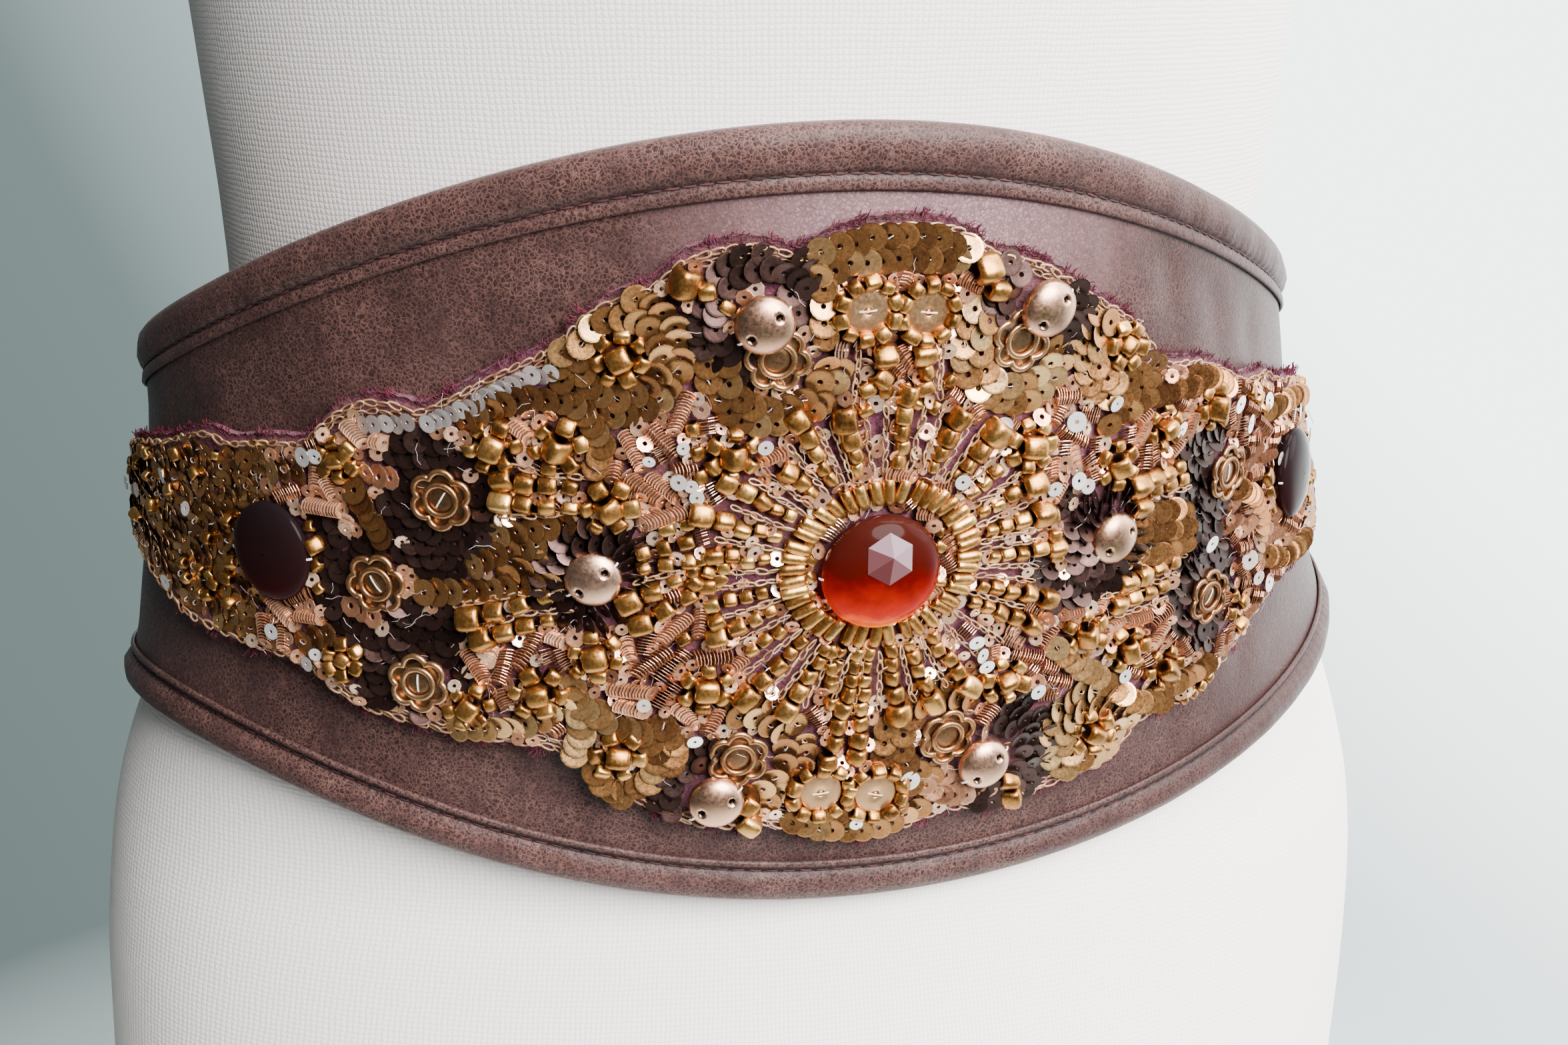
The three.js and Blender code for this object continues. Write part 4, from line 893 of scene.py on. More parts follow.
def along_path(stations, spacing):
    """Evenly spaced places on a smoothed path, and its direction there."""
    path = np.asarray(stations, float)
    t = np.arange(len(path))
    fine = np.linspace(0, len(path) - 1, 24 * (len(path) - 1) + 1)
    line = np.stack([np.interp(fine, t, path[:, k]) for k in (0, 1)], -1)
    if len(path) > 2:
        pad = np.pad(line, ((7, 7), (0, 0)), mode="reflect", reflect_type="odd")
        line = np.stack([np.convolve(pad[:, k], np.ones(15) / 15, "valid") for k in (0, 1)], -1)
    run = np.concatenate([[0], np.cumsum(np.hypot(*np.diff(line, axis=0).T))])
    at = np.linspace(0, run[-1], max(int(round(run[-1] / spacing)), 1) + 1)
    place = np.stack([np.interp(at, run, line[:, k]) for k in (0, 1)], -1)
    ahead = np.gradient(place, axis=0)
    return place[:, 0], place[:, 1], np.arctan2(ahead[:, 1], ahead[:, 0])


# Bugles round the centre stone, on an oval
turn = np.linspace(0, 2 * math.pi, 41)[:-1] + rng.normal(0, 0.012, 40)
bugle = closed_lathe([(0.5, -2.0), (0.62, -2.38), (0.95, -2.42), (1.16, -2.2), (1.23, -1.0), (1.23, 1.0), (1.16, 2.2),
                      (0.95, 2.42), (0.62, 2.38), (0.5, 2.0)], 10)
bugle = (bugle[0][:, [2, 0, 1]], bugle[1], None)
along, height = 16.9 * np.cos(turn), SUN + 14.4 * np.sin(turn)
bugles.put(bugle, along, height, FELT_OUT + 1.5, rng.normal(1, 0.04, 40),
           np.arctan2(np.sin(turn) * 14.4, np.cos(turn) * 16.9) + rng.normal(0, 0.07, 40),
           rng.normal(-0.06, 0.05, 40), 0.0, rng.uniform(0.2, 0.85, 40))
take(along, height, 1.8)

for direction, first, last, size in RAYS:
    d = math.radians(direction)
    sizes, places = [], []
    r = first
    while r < last + 0.5:
        share = (r - first) / (last - first)
        s = 2.7 + (size - 2.7) * share**1.3
        places.append(r + s / 2)
        sizes.append(s)
        r += s * 1.02
    r, s = np.array(places), np.array(sizes)
    drift = rng.normal(0, 0.22, len(r))
    along = r * math.cos(d) - drift * math.sin(d)
    height = SUN + 0.96 * r * math.sin(d) + drift * math.cos(d)
    add_beads(along, height, s * rng.normal(1, 0.04, len(r)), d)

for a, h, s in BEADS:
    add_beads(a, h, s)
for a0, h0, a1, h1, count, s0, s1 in BEAD_ROWS:
    share = np.linspace(0, 1, count)
    add_beads(a0 + (a1 - a0) * share, h0 + (h1 - h0) * share, s0 + (s1 - s0) * share,
              math.atan2(h1 - h0, a1 - a0 + 1e-6))
for a, h, middle, petals, size in FLOWERS:
    add_beads(a, h, middle, lift=0.3)
    turn = np.linspace(0, 2 * math.pi, petals + 1)[:-1] + rng.uniform(0, 1)
    reach = (middle + size) / 2
    add_beads(a + reach * np.cos(turn), h + reach * np.sin(turn), size * rng.normal(0.98, 0.06, petals),
              turn + math.pi / 2)
for name, a, h in COINS:
    turn = np.linspace(0, 2 * math.pi, 11)[:-1] + 0.3
    x, y = a + 5.1 * np.cos(turn), h + 5.1 * np.sin(turn)
    clear = np.ones(10, bool)
    for other, b, k in COINS:
        if other != name:
            clear &= np.hypot(x - b, y - k) > 4.6
    add_beads(x[clear], y[clear], rng.normal(2.9, 0.2, clear.sum()), turn[clear] + math.pi / 2, 1.1)
    take(a, h, 4.4)
for _, a, h, _ in DOMES:
    take(a, h, 5.2)
for _, a, h in CAPS:
    take(a, h, 5.6)
for _, a, h, radius, _, wide in STONES:
    take(a, h, radius * (0.5 + wide / 2) + 0.2)

for kind, stations, spacing, radius, tone in SEQUIN_ROWS:
    a, h, way = along_path(stations, spacing * np.where(stations[0][0] > 50, 0.8, 1.02))
    n = len(a)
    a, h = a + rng.normal(0, 0.15, n), h + rng.normal(0, 0.15, n)
    add_sequins(kind, a, h, radius * rng.normal(1, 0.03, n), way + rng.normal(0, 0.15, n),
                np.where(a > 50, 0.62, 0.33) + rng.normal(0, 0.08, n), FELT_OUT + 1.5 + rng.uniform(0, 0.15, n),
                tone, 1.0)
for kind, a, h, inner, outer, start, stop, radius, tone in FANS:
    spacing, step = (2.75, 3.3) if kind == "gold" else (2.5, 2.9)
    middle = outer
    level = 0.0
    while middle >= inner - 0.1:
        count = max(int(math.radians(stop - start) * middle / spacing), 2)
        q = np.radians(np.linspace(start, stop, count, endpoint=stop - start < 350)) + rng.normal(0, 0.03, count)
        r = middle + rng.normal(0, 0.2, count)
        along, height = a + r * np.cos(q), h + r * np.sin(q)
        keep = inset(along, height) > 1.4
        along, height, q = along[keep], height[keep], q[keep]
        n = len(q)
        add_sequins(kind, along, height, radius * rng.normal(1, 0.03, n), q + math.pi / 2 + rng.normal(0, 0.15, n),
                    (0.32 if kind == "gold" else 0.8 if abs(a) > 45 else 0.3) + rng.normal(0, 0.07, n),
                    FELT_OUT + 1.1 + level + rng.uniform(0, 0.15, n), tone, 1.0)
        middle -= step
        level += 0.5
silver = np.array(SILVER)
add_sequins("white", silver[:, 0], silver[:, 1], silver[:, 2] * 0.92, rng.uniform(0, AROUND, len(silver)),
            rng.normal(0.0, 0.14, len(silver)), FELT_OUT + 2.5, 0.8, 0.4)


# Chain stitch round the border and between the rays
def add_chain(stations, spacing, size, out=0.6):
    a, h, way = along_path(stations, spacing)
    n = len(a)
    swing = np.where(np.arange(n) % 2, 0.5, -0.5)
    chains.put(chain_link, a, h, FELT_OUT + out, size * rng.normal(1, 0.06, n), way + rng.normal(0, 0.12, n),
               rng.normal(0.05, 0.1, n), swing + rng.normal(0, 0.2, n), np.clip(rng.normal(0.5, 0.22, n), 0, 1))
    take(a, h, 0.9 if out > 1 else 0.55)


for table, side in ((TOP_OUTLINE, -1), (BOTTOM_OUTLINE, 1)):
    for step, low, high in ((0.9, -186, 186), (2.4, -104, 58), (3.9, -14, 12)):
        a = np.arange(low, high, 2.5)
        add_chain(np.stack([a, outline(table, a) + side * step], -1), 2.4, 0.88 if step < 2 else 0.75)
directions = sorted(r[0] for r in RAYS)
for here, after in zip(directions, directions[1:] + [directions[0] + 360]):
    strands = 2 if after - here > 13 else 1
    for k in range(strands):
        d = math.radians(here + (after - here) * (k + 1) / (strands + 1))
        r = np.array([20.2, 26, 31])
        add_chain(np.stack([r * math.cos(d), SUN + 0.96 * r * math.sin(d)], -1), 2.1, 0.78, 1.7)
for line in ([(-70, 24.6), (-63, 22.6), (-55, 22)], [(-69, 14.4), (-62, 14.6), (-54.6, 16)],
             [(-76, -3.6), (-66, -0.8), (-58, 0)], [(-71, -7.6), (-63, -4.4), (-56.6, -4)], [(-44, 2), (-38, 3.6)],
             [(54, 9.6), (62, 9.4), (69, 9.6)], [(53, -4.6), (61, -4.2), (68, -5)],
             [(47, -15), (55, -14.6), (62, -13.6)],
             [(-8.6, 46), (-8.2, 40), (-9, 34)], [(7.8, 46), (7.6, 40), (8, 36)], [(48, -10), (56, -10), (65, -8.8)]):
    add_chain(line, 2.1, 0.82, 1.7)

# Places in offset rows over the whole felt, for the dark sequins and the ends.
# Dark sequins lie like scales over their areas
grid_a, grid_h = np.meshgrid(np.arange(-188, 188, 2.9), np.arange(-56, 67, 2.45))
grid_a = grid_a + (np.arange(grid_a.shape[0]) % 2)[:, None] * 1.45
a = (grid_a + rng.normal(0, 0.3, grid_a.shape)).ravel()
h = (grid_h + rng.normal(0, 0.3, grid_a.shape)).ravel()
inside = inset(a, h) > 2.2
a, h = a[inside], h[inside]
dark = np.zeros(len(a), bool)
for ca, ch, ra, rh in DARK_AREAS:
    dark |= ((a - ca) / ra) ** 2 + ((h - ch) / rh) ** 2 < 1 + 0.15 * np.sin(a * 1.7 + h)
pick = dark & (free(a, h) > 0.6) & (abs(a) < COPPER_END)
n = pick.sum()
upright = rng.random(n) < 0.1 + 0.25 * (h[pick] < -2)
add_sequins("dark", a[pick], h[pick], rng.normal(2.3, 0.08, n), -math.pi / 2 + 0.5 * np.sin(a[pick] * 0.15)
            + rng.normal(0, 0.25, n), np.where(upright, 0.8, 0.22) + rng.normal(0, 0.08, n),
            FELT_OUT + 0.8 + rng.uniform(0, 0.3, n), 0.5, 0.8)

# Both ends: dull gold sequins and small beads
near_ends = (abs(a) > GOLD_FROM) & (free(a, h) > 0.5)
n = near_ends.sum()
as_bead = rng.random(n) < 0.1
ea, eh = a[near_ends], h[near_ends]
add_beads(ea[as_bead], eh[as_bead], rng.uniform(2.0, 2.8, as_bead.sum()), lift=-0.2)
n = (~as_bead).sum()
add_sequins("gold", ea[~as_bead], eh[~as_bead], rng.normal(2.2, 0.12, n), rng.normal(0.6, 0.9, n),
            rng.normal(0.2, 0.1, n), FELT_OUT + 0.5 + rng.uniform(0, 0.3, n), 0.5, 0.8)

# Rolls of small copper sequins threaded close together fill what is left
a = rng.uniform(-COPPER_END, COPPER_END, 16000)
h = rng.uniform(LOWEST, HIGHEST, 16000)
inside = (inset(a, h) > 2.0) & (free(a, h) > 0.85)
run = (np.arange(13) - 6) * 0.6
for ca, ch in zip(a[inside], h[inside]):
    if free(ca, ch) < 0.85:
        continue
    ways = rng.uniform(0, math.pi, 5)
    x, y = ca + run[None] * np.cos(ways)[:, None], ch + run[None] * np.sin(ways)[:, None]
    good = (free(x, y) > 0.8) & (inset(x, y) > 1.9)
    up = np.cumprod(good[:, 6:], 1).sum(1)
    down = np.cumprod(good[:, 6::-1], 1).sum(1)
    best = int(np.argmax(up + down))
    if up[best] + down[best] < 5:
        continue
    part = slice(6 - int(down[best]) + 1, 6 + int(up[best]))
    x, y = x[best, part], y[best, part]
    n = len(x)
    if n < 3:
        continue
    bend = rng.normal(0, 0.03) * (np.arange(n) - n / 2)
    coppers.put(small_sequin, x, y, FELT_OUT + rng.uniform(1.1, 1.5), rng.uniform(1.45, 1.75), ways[best] + bend,
                (1.1 if rng.random() < 0.45 else 0.62) + rng.normal(0, 0.1) + rng.normal(0, 0.05, n), 0.0,
                np.clip(rng.normal(0.45, 0.17) + rng.normal(0, 0.05, n), 0, 1))
    take(x, y, 1.25)
# Single copper sequins go in the gaps, the largest first
for room, radius in ((0.75, 1.75), (0.45, 1.55), (0.15, 1.35)):
    a = rng.uniform(-COPPER_END, COPPER_END, 9000)
    h = rng.uniform(LOWEST, HIGHEST, 9000)
    inside = (inset(a, h) > 1.8) & (free(a, h) > room)
    for ca, ch in zip(a[inside], h[inside]):
        if free(ca, ch) > room:
            add_sequins("copper", np.array([ca]), np.array([ch]), np.array([radius * rng.uniform(0.92, 1.08)]),
                        rng.uniform(0, AROUND), rng.normal(0.35, 0.25), FELT_OUT + rng.uniform(0.9, 1.9),
                        rng.uniform(0.3, 0.9), 0.75)

# Wisps of thread
count = 650
wa, wh = rng.uniform(-122, 122, count), rng.uniform(-56, 66, count)
ok = inset(wa, wh) > 1.2
strand = tube([[-2.6, 0, -0.2], [-1.4, 0.35, 0.25], [0, -0.1, 0.45], [1.3, 0.3, 0.3], [2.7, -0.2, -0.2]], 0.055, 3)
n = ok.sum()
wisps.put(strand, wa[ok], wh[ok], FELT_OUT + 1.0 + rng.uniform(0, 0.9, n), rng.uniform(0.5, 1.2, n),
          rng.uniform(0, AROUND, n), rng.normal(0, 0.2, n), rng.uniform(0, AROUND, n), rng.random(n))

beads.done("beads_gold", gold_bead, "bronze_domes")
bugles.done("bugle_beads", gold_bead, "bronze_domes")
for batch, name, finish in ((golds, "sequins_gold", gold_sequin), (coppers, "sequins_copper", copper_sequin),
                            (darks, "sequins_dark", dark_sequin), (whites, "sequins_silver", white_sequin)):
    batch.done(name, finish, "sequin_felt", smooth_faces=False)
chains.done("chain_stitch", chain_gold, "sequin_felt")
wisps.done("thread_wisps", wisp, "sequin_felt")


# Stones

# Painted reflections and shade on the cut stone's table, one colour per facet, from its darkest facet to its lightest
TABLE_PAINTED_LIGHT = [(0.0, (0.055, 0.012, 0.012)), (0.35, (0.10, 0.040, 0.044)), (0.7, (0.20, 0.125, 0.145)),
               (1.0, (0.27, 0.19, 0.215))]


def single(node_name, ending, template, place, finish, slot, **turns):
    """One shape at (along, height, out) over the CAD node that it replaces."""
    batch = Batch()
    batch.put(template, *place, **turns)
    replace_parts(batch.done(node_name + ending, finish, slot), node_name)


def stone_finish(name, stops, lit):
    """Faceted glass, dark at its top, with a painted glow at its bottom: emission that stands in for light in the
    stone, no lamp. own runs from its foot to its top; on the table's facets it picks their painted reflections and
    shade.
    """
    m, t, b = material(name)
    cloud = noise(t, 230, 4, 0.6)
    own = attribute(t, "own")
    lift = maths(t, "ADD", own, grey(t, cloud, 0.3, 0.7, -0.07, 0.07))
    table = grey(t, own, 1.5, 1.6)
    facet = ramp(t, grey(t, own, 2.0, 3.0), TABLE_PAINTED_LIGHT)
    t.links.new(mix(t, table, ramp(t, lift, stops), facet), b.inputs["Base Color"])
    # Painted glow: emission from own on the body of the stone, none on the table
    t.links.new(mix(t, table, ramp(t, lift, lit), (0.0, 0.0, 0.0)), b.inputs["Emission Color"])
    b.inputs["Roughness"].default_value = 0.10
    b.inputs["IOR"].default_value = 1.16
    b.inputs["Specular IOR Level"].default_value = 0.3
    b.inputs["Emission Strength"].default_value = 1.0
    return m


# Painted glow of the stones: orange at the amber one's foot, a faint red glow at the garnet ones' foot
amber_glass = stone_finish(
    "glass_amber", [(0.0, (0.10, 0.004, 0.0)), (0.5, (0.020, 0.001, 0.001)), (1.0, (0.030, 0.006, 0.004))],
    [(0.0, (2.4, 0.85, 0.0)), (0.07, (1.5, 0.20, 0.0)), (0.17, (0.80, 0.015, 0.0)), (0.42, (0.34, 0.003, 0.0)),
     (0.60, (0.08, 0.002, 0.0)), (0.80, (0.035, 0.003, 0.001)), (1.0, (0.03, 0.004, 0.003))])
dark_glass = stone_finish(
    "glass_garnet", [(0.0, (0.010, 0.003, 0.003)), (1.0, (0.008, 0.005, 0.006))],
    [(0.0, (0.022, 0.001, 0.001)), (0.3, (0.008, 0.001, 0.001)), (1.0, (0.001, 0.001, 0.001))])


def gem(radius, rise, wide, girdle, cut):
    """A glass stone: a smooth dome, and where it is cut, a hexagonal table of six facets a little above its middle.
    own is the height up the stone as it is worn, from 0 to 1, or 2 to 3 on the table's facets, where it picks each
    facet's painted reflection and shade."""
    sides = 48
    q = np.arange(sides) * 2 * math.pi / sides
    crown = rise - girdle
    rings = np.array([(0.80, -1.7), (0.96, 0.0), (1.0, girdle * 0.5), (1.0, girdle * 0.85),
                      (0.975, girdle + crown * 0.12), (0.92, girdle + crown * 0.30), (0.82, girdle + crown * 0.52),
                      (0.68, girdle + crown * 0.72), (0.50, girdle + crown * 0.87), (0.28, girdle + crown * 0.96),
                      (0.02, rise)])
    points = np.concatenate([
        np.stack([r * radius * wide * np.cos(q), r * radius * np.sin(q), np.full(sides, z)], -1) for r, z in rings])
    foot = np.arange(sides)
    start = len(points)
    faces = [grid_faces(len(rings), sides, wrap_columns=True),
             np.stack([(foot + 1) % sides, foot, np.full(sides, start)], -1)]
    points = np.concatenate([points, [[0, 0, -1.7]]])
    own = 0.5 + 0.5 * points[:, 1] / radius
    if cut:
        k = np.arange(6)
        corner = k * math.pi / 3 + math.pi / 6
        x, y = 0.43 * radius * np.cos(corner), 0.43 * radius * np.sin(corner) + 0.40 * radius
        out = np.interp(np.hypot(x, y) / radius, rings[:1:-1, 0], rings[:1:-1, 1])
        ring = np.stack([x, y, out + 0.22], -1)
        tip = [[0.03 * radius, 0.46 * radius, np.interp(0.46, rings[:1:-1, 0], rings[:1:-1, 1]) + 0.75]]
        points = np.concatenate([points, ring, np.roll(ring, -1, 0), np.tile(tip, (6, 1))])
        faces.append(np.stack([start + 1 + k, start + 7 + k, start + 13 + k], -1))
        # Each table facet's own picks its painted reflection and shade
        own = np.concatenate([own, np.tile([2.95, 2.7, 2.25, 2.1, 2.4, 2.8], 3)])
    return points, faces, own


thread_light = thread_finish("thread_white", (0.72, 0.68, 0.66), (0.92, 0.90, 0.88))
threads = Batch()


def stitch_across(a, h, out, spin, length, bend, width):
    """Two threads side by side."""
    path = np.linspace(-1, 1, 9)
    for side in (-0.5, 0.5):
        arch = bend * (1 - path**2) - 0.25 * abs(path) ** 6
        line = np.stack([path * length / 2, side * width * 2.1 + 0 * path, arch], -1)
        threads.put(tube(line, width, 6), [a], h, out, spin=spin, tone=rng.random())


for name, a, h, radius, rise, wide in STONES:
    centre = name == "stone_centre"
    girdle = 2.4 if centre else 1.5
    single(name, "_cut", gem(radius, rise, wide, girdle, centre), ([a], h, SEAT_OUT),
           amber_glass if centre else dark_glass, "amber_stone" if centre else "dark_stone")
    for side in (-1, 1):
        stitch_across(a + side * radius * wide * 0.93, h - 0.4, SEAT_OUT + girdle, 0.12 * side, 2.2, 0.3, 0.1)


# Domes, flower caps and coins

def dome_template(radius, height, lip):
    rings, sides = 26, 48
    r = np.linspace(0, 1, rings)[:, None] * radius
    q = np.linspace(0, 2 * math.pi, sides, endpoint=False)[None]
    x, y = r * np.cos(q), r * np.sin(q)
    z = lip + (height - lip) * np.sqrt(np.clip(1 - (r / radius) ** 2 * 0.97, 0, 1)) + 0 * q
    pit = np.zeros_like(x)
    for hx, hy in ((2.3, 1.9), (-2.5, -1.8)):
        pit = np.maximum(pit, 1 - smooth(0.5, 0.85, np.hypot(x - hx, y - hy)))
    z = z - 0.8 * pit
    skirt = np.stack([radius * np.cos(q[0]), radius * np.sin(q[0]), np.zeros(sides)], -1)
    points = np.concatenate([np.stack([x, y, z], -1).reshape(-1, 3), skirt])
    return points, [grid_faces(rings + 1, sides, wrap_columns=True)], np.concatenate([pit.ravel(), np.zeros(sides)])


t = dome_bronze.node_tree
# Painted shade in the pits of the two sewing holes; then random tarnish patches
laid_over(dome_bronze, grey(t, attribute(t, "own"), 0.25, 0.8), (0.015, 0.010, 0.008))
laid_over(dome_bronze, grey(t, noise(t, 190, 3, 0.6), 0.60, 0.72, 0.0, 0.5), (0.34, 0.29, 0.10))
dome = dome_template(5.3, 3.4, 0.5)
for name, a, h, over in DOMES:
    out = SEAT_OUT + 1.6 * over
    single(name, "_pressed", dome, ([a], h, out), dome_bronze, "bronze_domes",
           spin=rng.normal(0, 0.25), tone=rng.uniform(0.3, 0.8))
    for sx, sy in ((3.3, 2.7), (-3.5, -2.5)):
        stitch_across(a + sx, h + sy, out + 1.5, math.atan2(sy, sx), 2.4, 0.3, 0.1)


def cap_template():
    """A pressed cap: a rim of six lobes, its dished floor and a ribbed ring. own is 1 in the dish."""
    parts, faces, own = [], [], []

    def join(piece, label):
        points, more, _ = piece
        start = sum(len(p) for p in parts)
        parts.append(points)
        faces.extend(np.asarray(f) + start for f in more)
        own.append(np.full(len(points), label))

    q = np.linspace(0, 2 * math.pi, 96, endpoint=False)
    rim = 4.25 + 1.3 * abs(np.cos(3 * q)) ** 0.7
    join(tube(np.stack([rim * np.cos(q), rim * np.sin(q), np.full(96, 0.95)], -1), 0.6, 8, closed=True, flat=0.95), 0.0)
    rings = np.array([0.05, 1.2, 2.2, 3.2, 4.2])
    z = np.array([1.0, 1.0, 0.9, 0.25, 0.2])
    floor_points = np.stack([rings[:, None] * np.cos(q), rings[:, None] * np.sin(q), z[:, None] + 0 * q], -1)
    floor_points[-1] = np.stack([rim * np.cos(q), rim * np.sin(q), np.full(96, 0.5)], -1)
    join((floor_points.reshape(-1, 3), [grid_faces(5, 96, wrap_columns=True)], None), 1.0)
    path = np.stack([2.95 * np.cos(q), 2.95 * np.sin(q), np.full(96, 1.15)], -1)
    join(tube(path, 0.5, 8, closed=True, flat=0.75, ribs=0.28), 0.2)
    return np.concatenate(parts), faces, np.concatenate(own)


t = cap_copper.node_tree
laid_over(cap_copper, grey(t, attribute(t, "own"), 0.3, 0.9, 0.0, 0.5), (0.10, 0.06, 0.035))
cap = cap_template()
for name, a, h in CAPS:
    single(name, "_stamped", cap, ([a], h, SEAT_OUT - 0.6), cap_copper, "copper_caps",
           spin=rng.uniform(0, 1), tone=rng.uniform(0.3, 0.8))
    if not any(math.hypot(a - x, h - y) < 9 and over for _, x, y, over in DOMES):
        stitch_across(a, h, SEAT_OUT + 0.35, rng.uniform(0.9, 2.2), 4.2, 0.3, 0.075)
coin = closed_lathe([(4.15, 0.0), (4.2, 0.3), (4.1, 0.72), (3.8, 0.8), (2.0, 0.83), (0.9, 0.8), (0.6, 0.62)], 48)
for name, a, h in COINS:
    single(name, "_flat", coin, ([a], h, SEAT_OUT), coin_champagne, "pale_coins",
           tilt=rng.normal(0, 0.02), tone=rng.uniform(0.4, 0.9))
    stitch_across(a, h, SEAT_OUT + 0.72, rng.uniform(-0.4, 0.2), 4.2, 0.25, 0.08)
threads.done("thread_sewing", thread_light, "sequin_felt")


# Dress form

# Rings of the form: height over the stones' level, half width, middle, front and back
FORM = np.array([
    (-217.7, 145, 0, -92, 115), (-190, 148.6, -0.8, -91, 117), (-150, 151.2, 0.3, -89, 117),
    (-125, 152.4, 1.8, -86, 116), (-100, 152.6, 2.8, -81, 112.5), (-85, 151.2, 3, -77.5, 109.5),
    (-73, 149, 2.6, -74.2, 106.5), (-60, 145, 1.6, -74.5, 103.5), (-50, 140.6, 0.4, -77, 101),
    (-40, 135.4, -0.7, -80.5, 98.5), (-30, 132, -1.8, -82.5, 96), (-12, 125.8, -2.4, -85.5, 91.5),
    (8, 118.8, -3.2, -88, 87), (28, 113.2, -4.4, -90, 82), (42, 110.8, -4.9, -92, 79.5),
    (60, 111.4, -5, -95, 77.5), (83, 113.6, -4.9, -98.5, 78.5), (110, 116.3, -4.8, -103, 82),
    (140, 119.8, -4.8, -107, 87), (170, 125.4, -4.8, -109, 92), (200, 133.5, -4.8, -109, 96.5),
    (230, 141.5, -4.8, -106, 99.5), (260, 147.5, -4.8, -99, 100), (290, 151, -4.8, -88.5, 98),
    (320, 152, -4.8, -75.5, 92), (343, 149, -4.8, -64, 85), (361, 139, -4.8, -55, 77), (376, 121, -4.8, -49.5, 70.5),
    (388, 98, -4.8, -46.5, 65), (399, 76, -4.8, -44.5, 59.5), (412, 60.5, -4.8, -43, 54.5), (430, 53, -4.8, -42, 51.5),
    (455, 52, -4.8, -42, 50.5),
])


def cardinal(xs, ys, at):
    """Values of a smooth curve through stations."""
    slope = np.gradient(ys, xs, axis=0)
    k = np.clip(np.searchsorted(xs, at, side="right") - 1, 0, len(xs) - 2)
    span = (xs[k + 1] - xs[k])[:, None]
    t = (at - xs[k])[:, None] / span
    a, b = ys[k], ys[k + 1]
    return (a * (1 + 2 * t) * (1 - t) ** 2 + slope[k] * span * t * (1 - t) ** 2
            + b * t**2 * (3 - 2 * t) + slope[k + 1] * span * t**2 * (t - 1))


def linen_finish():
    """Heavy off-white canvas: over and under threads, slubs and faint soft blotches."""
    m, t, b = material("linen_canvas")
    where = node(t, "ShaderNodeTexCoord").outputs["Object"]
    split = node(t, "ShaderNodeSeparateXYZ", {"Vector": where})
    turn = maths(t, "ARCTAN2", split.outputs["X"], split.outputs["Y"])
    stir = grey(t, noise(t, 160, 3, 0.6, where), 0.0, 1.0, -1.6, 1.6)
    warp = maths(t, "ABSOLUTE", maths(t, "SINE", maths(t, "ADD", maths(t, "MULTIPLY", turn, 330.0), stir)))
    up = split.outputs["Z"]
    weft = maths(t, "ABSOLUTE", maths(t, "SINE", maths(t, "ADD", maths(t, "MULTIPLY", up, 3000.0), stir)))
    slub = noise(t, 620, 3, 0.7, where)
    weave = maths(t, "ADD", maths(t, "MULTIPLY", maths(t, "POWER", warp, 0.7), maths(t, "POWER", weft, 0.6)),
                  maths(t, "MULTIPLY", slub, 0.8))
    soft = noise(t, 14, 3, 0.5, where)
    colour = mix(t, grey(t, weave, 0.2, 1.3), (0.85, 0.77, 0.74), (1.0, 0.935, 0.905))
    colour = mix(t, grey(t, soft, 0.35, 0.75, 0.0, 0.3), colour, (0.87, 0.81, 0.78))
    t.links.new(colour, b.inputs["Base Color"])
    b.inputs["Roughness"].default_value = 0.95
    b.inputs["Specular IOR Level"].default_value = 0.15
    bump(t, b, weave, 0.30, 0.0003)
    return m


linen = linen_finish()
levels = np.concatenate([np.linspace(-217.7, 90, 100), np.linspace(95, 455, 72)])
rows = cardinal(FORM[:, 0], FORM[:, 1:], levels)
turn = np.linspace(-math.pi, math.pi, 161)[:-1]
half, middle, front, back = (rows[:, k][:, None] for k in range(4))
x = half * np.sin(turn)[None] + middle
y = (front + back) / 2 - (back - front) / 2 * np.cos(turn)[None]
BUST_LEVEL, BUST_SIDE, BUST_SPREAD, BUST_FORWARD = 190, 56, 56, 13
swell = np.exp(-((abs(x) - BUST_SIDE) / BUST_SPREAD) ** 2 - ((levels[:, None] - BUST_LEVEL) / BUST_SPREAD) ** 2)
y = y - BUST_FORWARD * (swell * np.clip(np.cos(turn), 0, 1)[None])
cover = np.stack([x, y - SETBACK, levels[:, None] + STONE_LEVEL + 0 * x], -1)
tips = [[0, cover[0, :, 1].mean(), cover[0, 0, 2]], [-4.8, cover[-1, :, 1].mean(), cover[-1, 0, 2]]]
points = np.concatenate([cover.reshape(-1, 3), tips])
count = len(turn)
last = (len(levels) - 1) * count
ends = [fan(last + count, 0, count)[:, ::-1], fan(last + count + 1, last, count)]
torso = make("linen_cover", points, [grid_faces(len(levels), count, wrap_columns=True), *ends], linen)
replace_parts(torso, "form_torso")

# Whip stitches down both side seams of the form, and none where the belt hides them
SEAM_ANGLE = math.radians(101)
whip = Batch()
dash = tube([[-1.7, 0.5, -0.3], [-0.9, 0.25, 0.25], [0, 0, 0.42], [0.9, -0.25, 0.25], [1.7, -0.5, -0.3]], 0.32, 5)
for side in (-1, 1):
    for k in range(2, len(levels) - 33):
        if -62 < levels[k] < 66:
            continue
        c = int(round((side * SEAM_ANGLE + math.pi) / (2 * math.pi) * count)) % count
        p, q, r = cover[k, c], cover[k, (c + 1) % count], cover[k + 1, c]
        across, up = unit(q - p), unit(r - p)
        out = np.cross(across, up)
        axes = np.stack([across, np.cross(out, across), out], -1)
        whip.add((p + dash[0] @ axes.T)[None], dash[1], rng.random())
whip.done("thread_side_seams", thread_light, "linen")

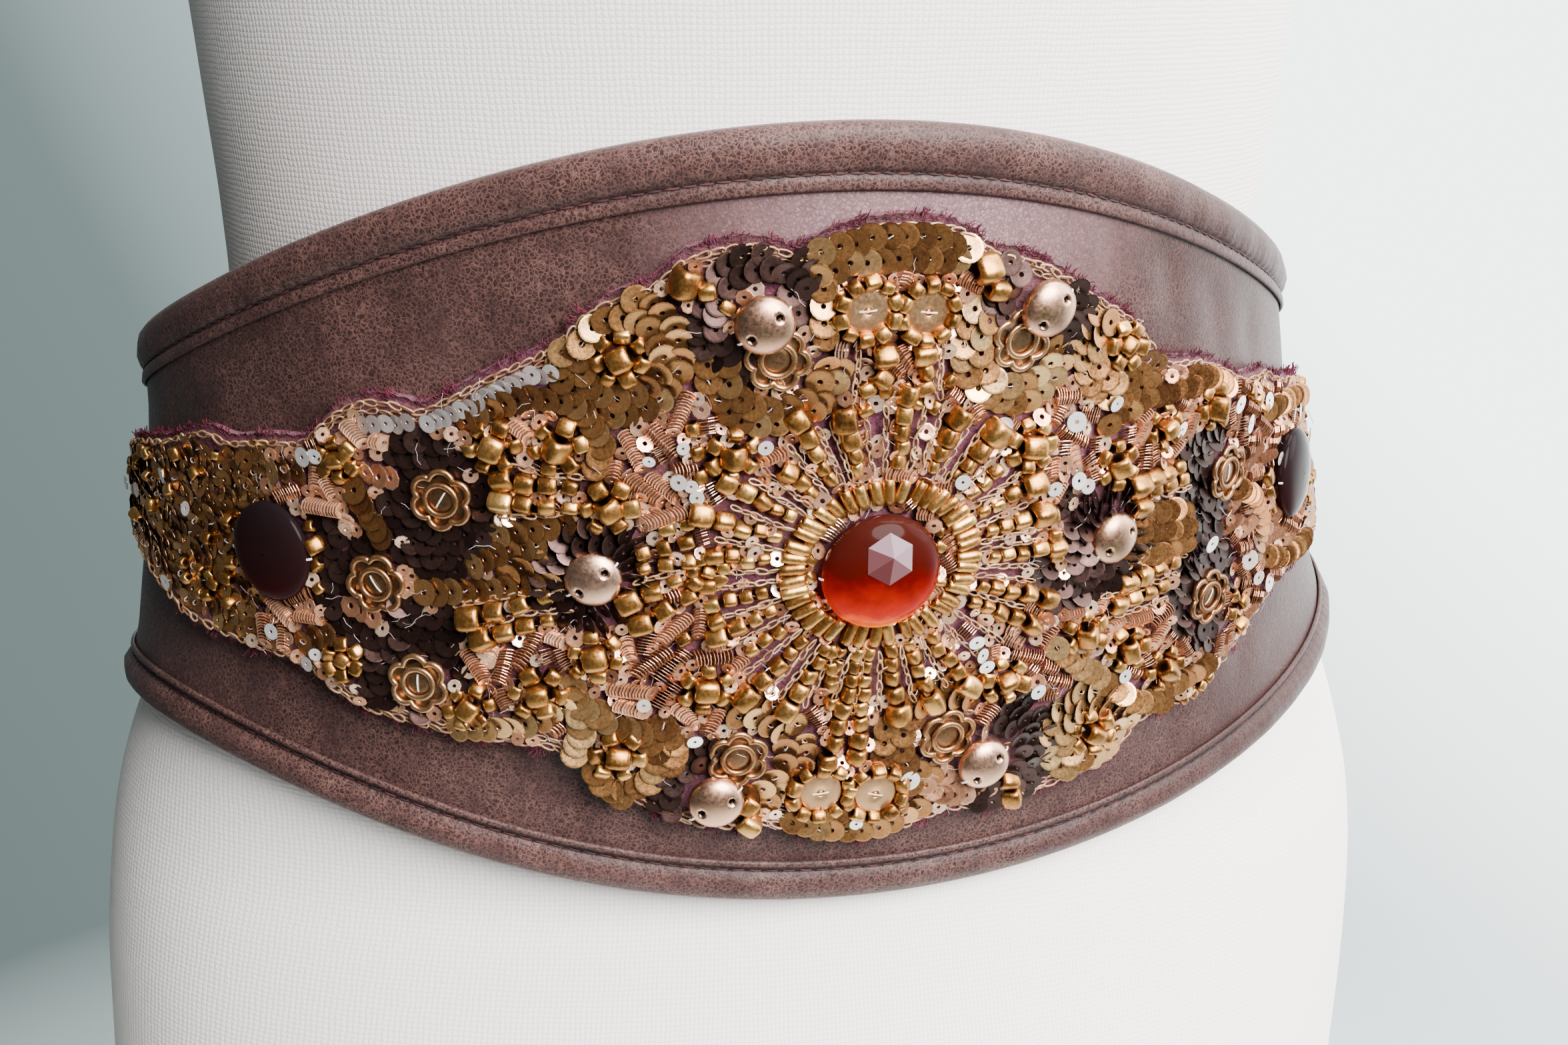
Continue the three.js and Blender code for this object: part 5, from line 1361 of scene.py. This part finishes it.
# Materials of the pieces that stay as they are
wood, t, b = material("wood_turned")
rings = noise(t, 26, 5, 0.6, node(t, "ShaderNodeMapping", {"Vector": node(t, "ShaderNodeTexCoord").outputs["Object"],
                                                           "Scale": (1, 1, 9)}).outputs[0])
t.links.new(ramp(t, rings, [(0.3, (0.12, 0.065, 0.035)), (0.7, (0.24, 0.145, 0.085))]), b.inputs["Base Color"])
b.inputs["Roughness"].default_value = 0.45
snap_metal = metal_finish("snap_brass", (0.24, 0.18, 0.10), (0.42, 0.33, 0.2), (0.7, 0.6, 0.42), 0.3)
for name, finish in [("form_base", wood), ("form_neck_cap", wood)] + [
        (f"snap_{kind}_{n}", snap_metal) for kind in ("cap", "stud") for n in (1, 2, 3)]:
    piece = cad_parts[name]
    piece.data.materials.clear()
    piece.data.materials.append(finish)


# Floor, light and camera

def stage_plane():
    """A pale floor that gives way to the plain surroundings a little way out."""
    m, t, b = material("floor_pale")
    t.links.new(mix(t, noise(t, 3, 2), (0.60, 0.66, 0.66), (0.64, 0.70, 0.70)), b.inputs["Base Color"])
    b.inputs["Roughness"].default_value = 0.8
    away = node(t, "ShaderNodeVectorMath", {0: node(t, "ShaderNodeTexCoord").outputs["Object"]}, operation="LENGTH")
    t.links.new(grey(t, away.outputs["Value"], 0.13, 0.34, 1.0, 0.0), b.inputs["Alpha"])
    mesh = bpy.data.meshes.new("floor")
    mesh.from_pydata([(-6, -6, 0), (6, -6, 0), (6, 6, 0), (-6, 6, 0)], [], [(0, 1, 2, 3)])
    mesh.materials.append(m)
    piece = bpy.data.objects.new("floor", mesh)
    bpy.context.scene.collection.objects.link(piece)


stage_plane()


def lamp(name, place, target, size, power, colour):
    """A round soft lamp aimed at a target."""
    light = bpy.data.lights.new(name, "AREA")
    light.shape, light.size, light.energy, light.color = "DISK", size, power, colour
    piece = bpy.data.objects.new(name, light)
    piece.location = place
    piece.rotation_euler = (Vector(target) - Vector(place)).to_track_quat("-Z", "Y").to_euler()
    bpy.context.scene.collection.objects.link(piece)


lamp("window_front", (0.42, -1.3, 1.0), (0.03, -0.1, 0.22), 1.2, 118, (1.0, 0.985, 0.97))
lamp("window_top", (0.35, -0.25, 1.05), (0.04, -0.08, 0.25), 0.6, 12, (1.0, 0.98, 0.97))
lamp("window_right", (1.3, -0.5, 0.8), (0.03, -0.05, 0.22), 1.0, 10, (1.0, 0.985, 0.98))

# Surroundings: dim all round, and bright toward the window at the right
world = bpy.data.worlds.new("room")
bpy.context.scene.world = world
world.use_nodes = True
t = world.node_tree
background = t.nodes["Background"]
ray = node(t, "ShaderNodeVectorMath", {0: node(t, "ShaderNodeTexCoord").outputs["Generated"], 1: (0.62, 0.3, 0.25)},
           operation="DOT_PRODUCT").outputs["Value"]
t.links.new(ramp(t, grey(t, ray, -0.6, 0.6), [
    (0.0, (0.018, 0.020, 0.020)), (0.42, (0.028, 0.034, 0.034)), (0.72, (0.052, 0.070, 0.068)),
    (0.83, (0.22, 0.27, 0.28)), (0.95, (0.92, 1.0, 1.0))]), background.inputs["Color"])
background.inputs["Strength"].default_value = 4.6

# The photograph's view
camera = bpy.data.objects.new("camera", bpy.data.cameras.new("camera"))
camera.data.lens, camera.data.sensor_width = 50, 36
camera.location = (-0.13766, -0.47289, 0.33877)
azimuth, rise = math.radians(-17.1), math.radians(14.4)
back = Vector((math.sin(azimuth) * math.cos(rise), -math.cos(azimuth) * math.cos(rise), math.sin(rise)))
camera.rotation_euler = (-back).to_track_quat("-Z", "Y").to_euler()
camera.data.clip_start, camera.data.clip_end = 0.01, 20
bpy.context.scene.collection.objects.link(camera)
bpy.context.scene.camera = camera
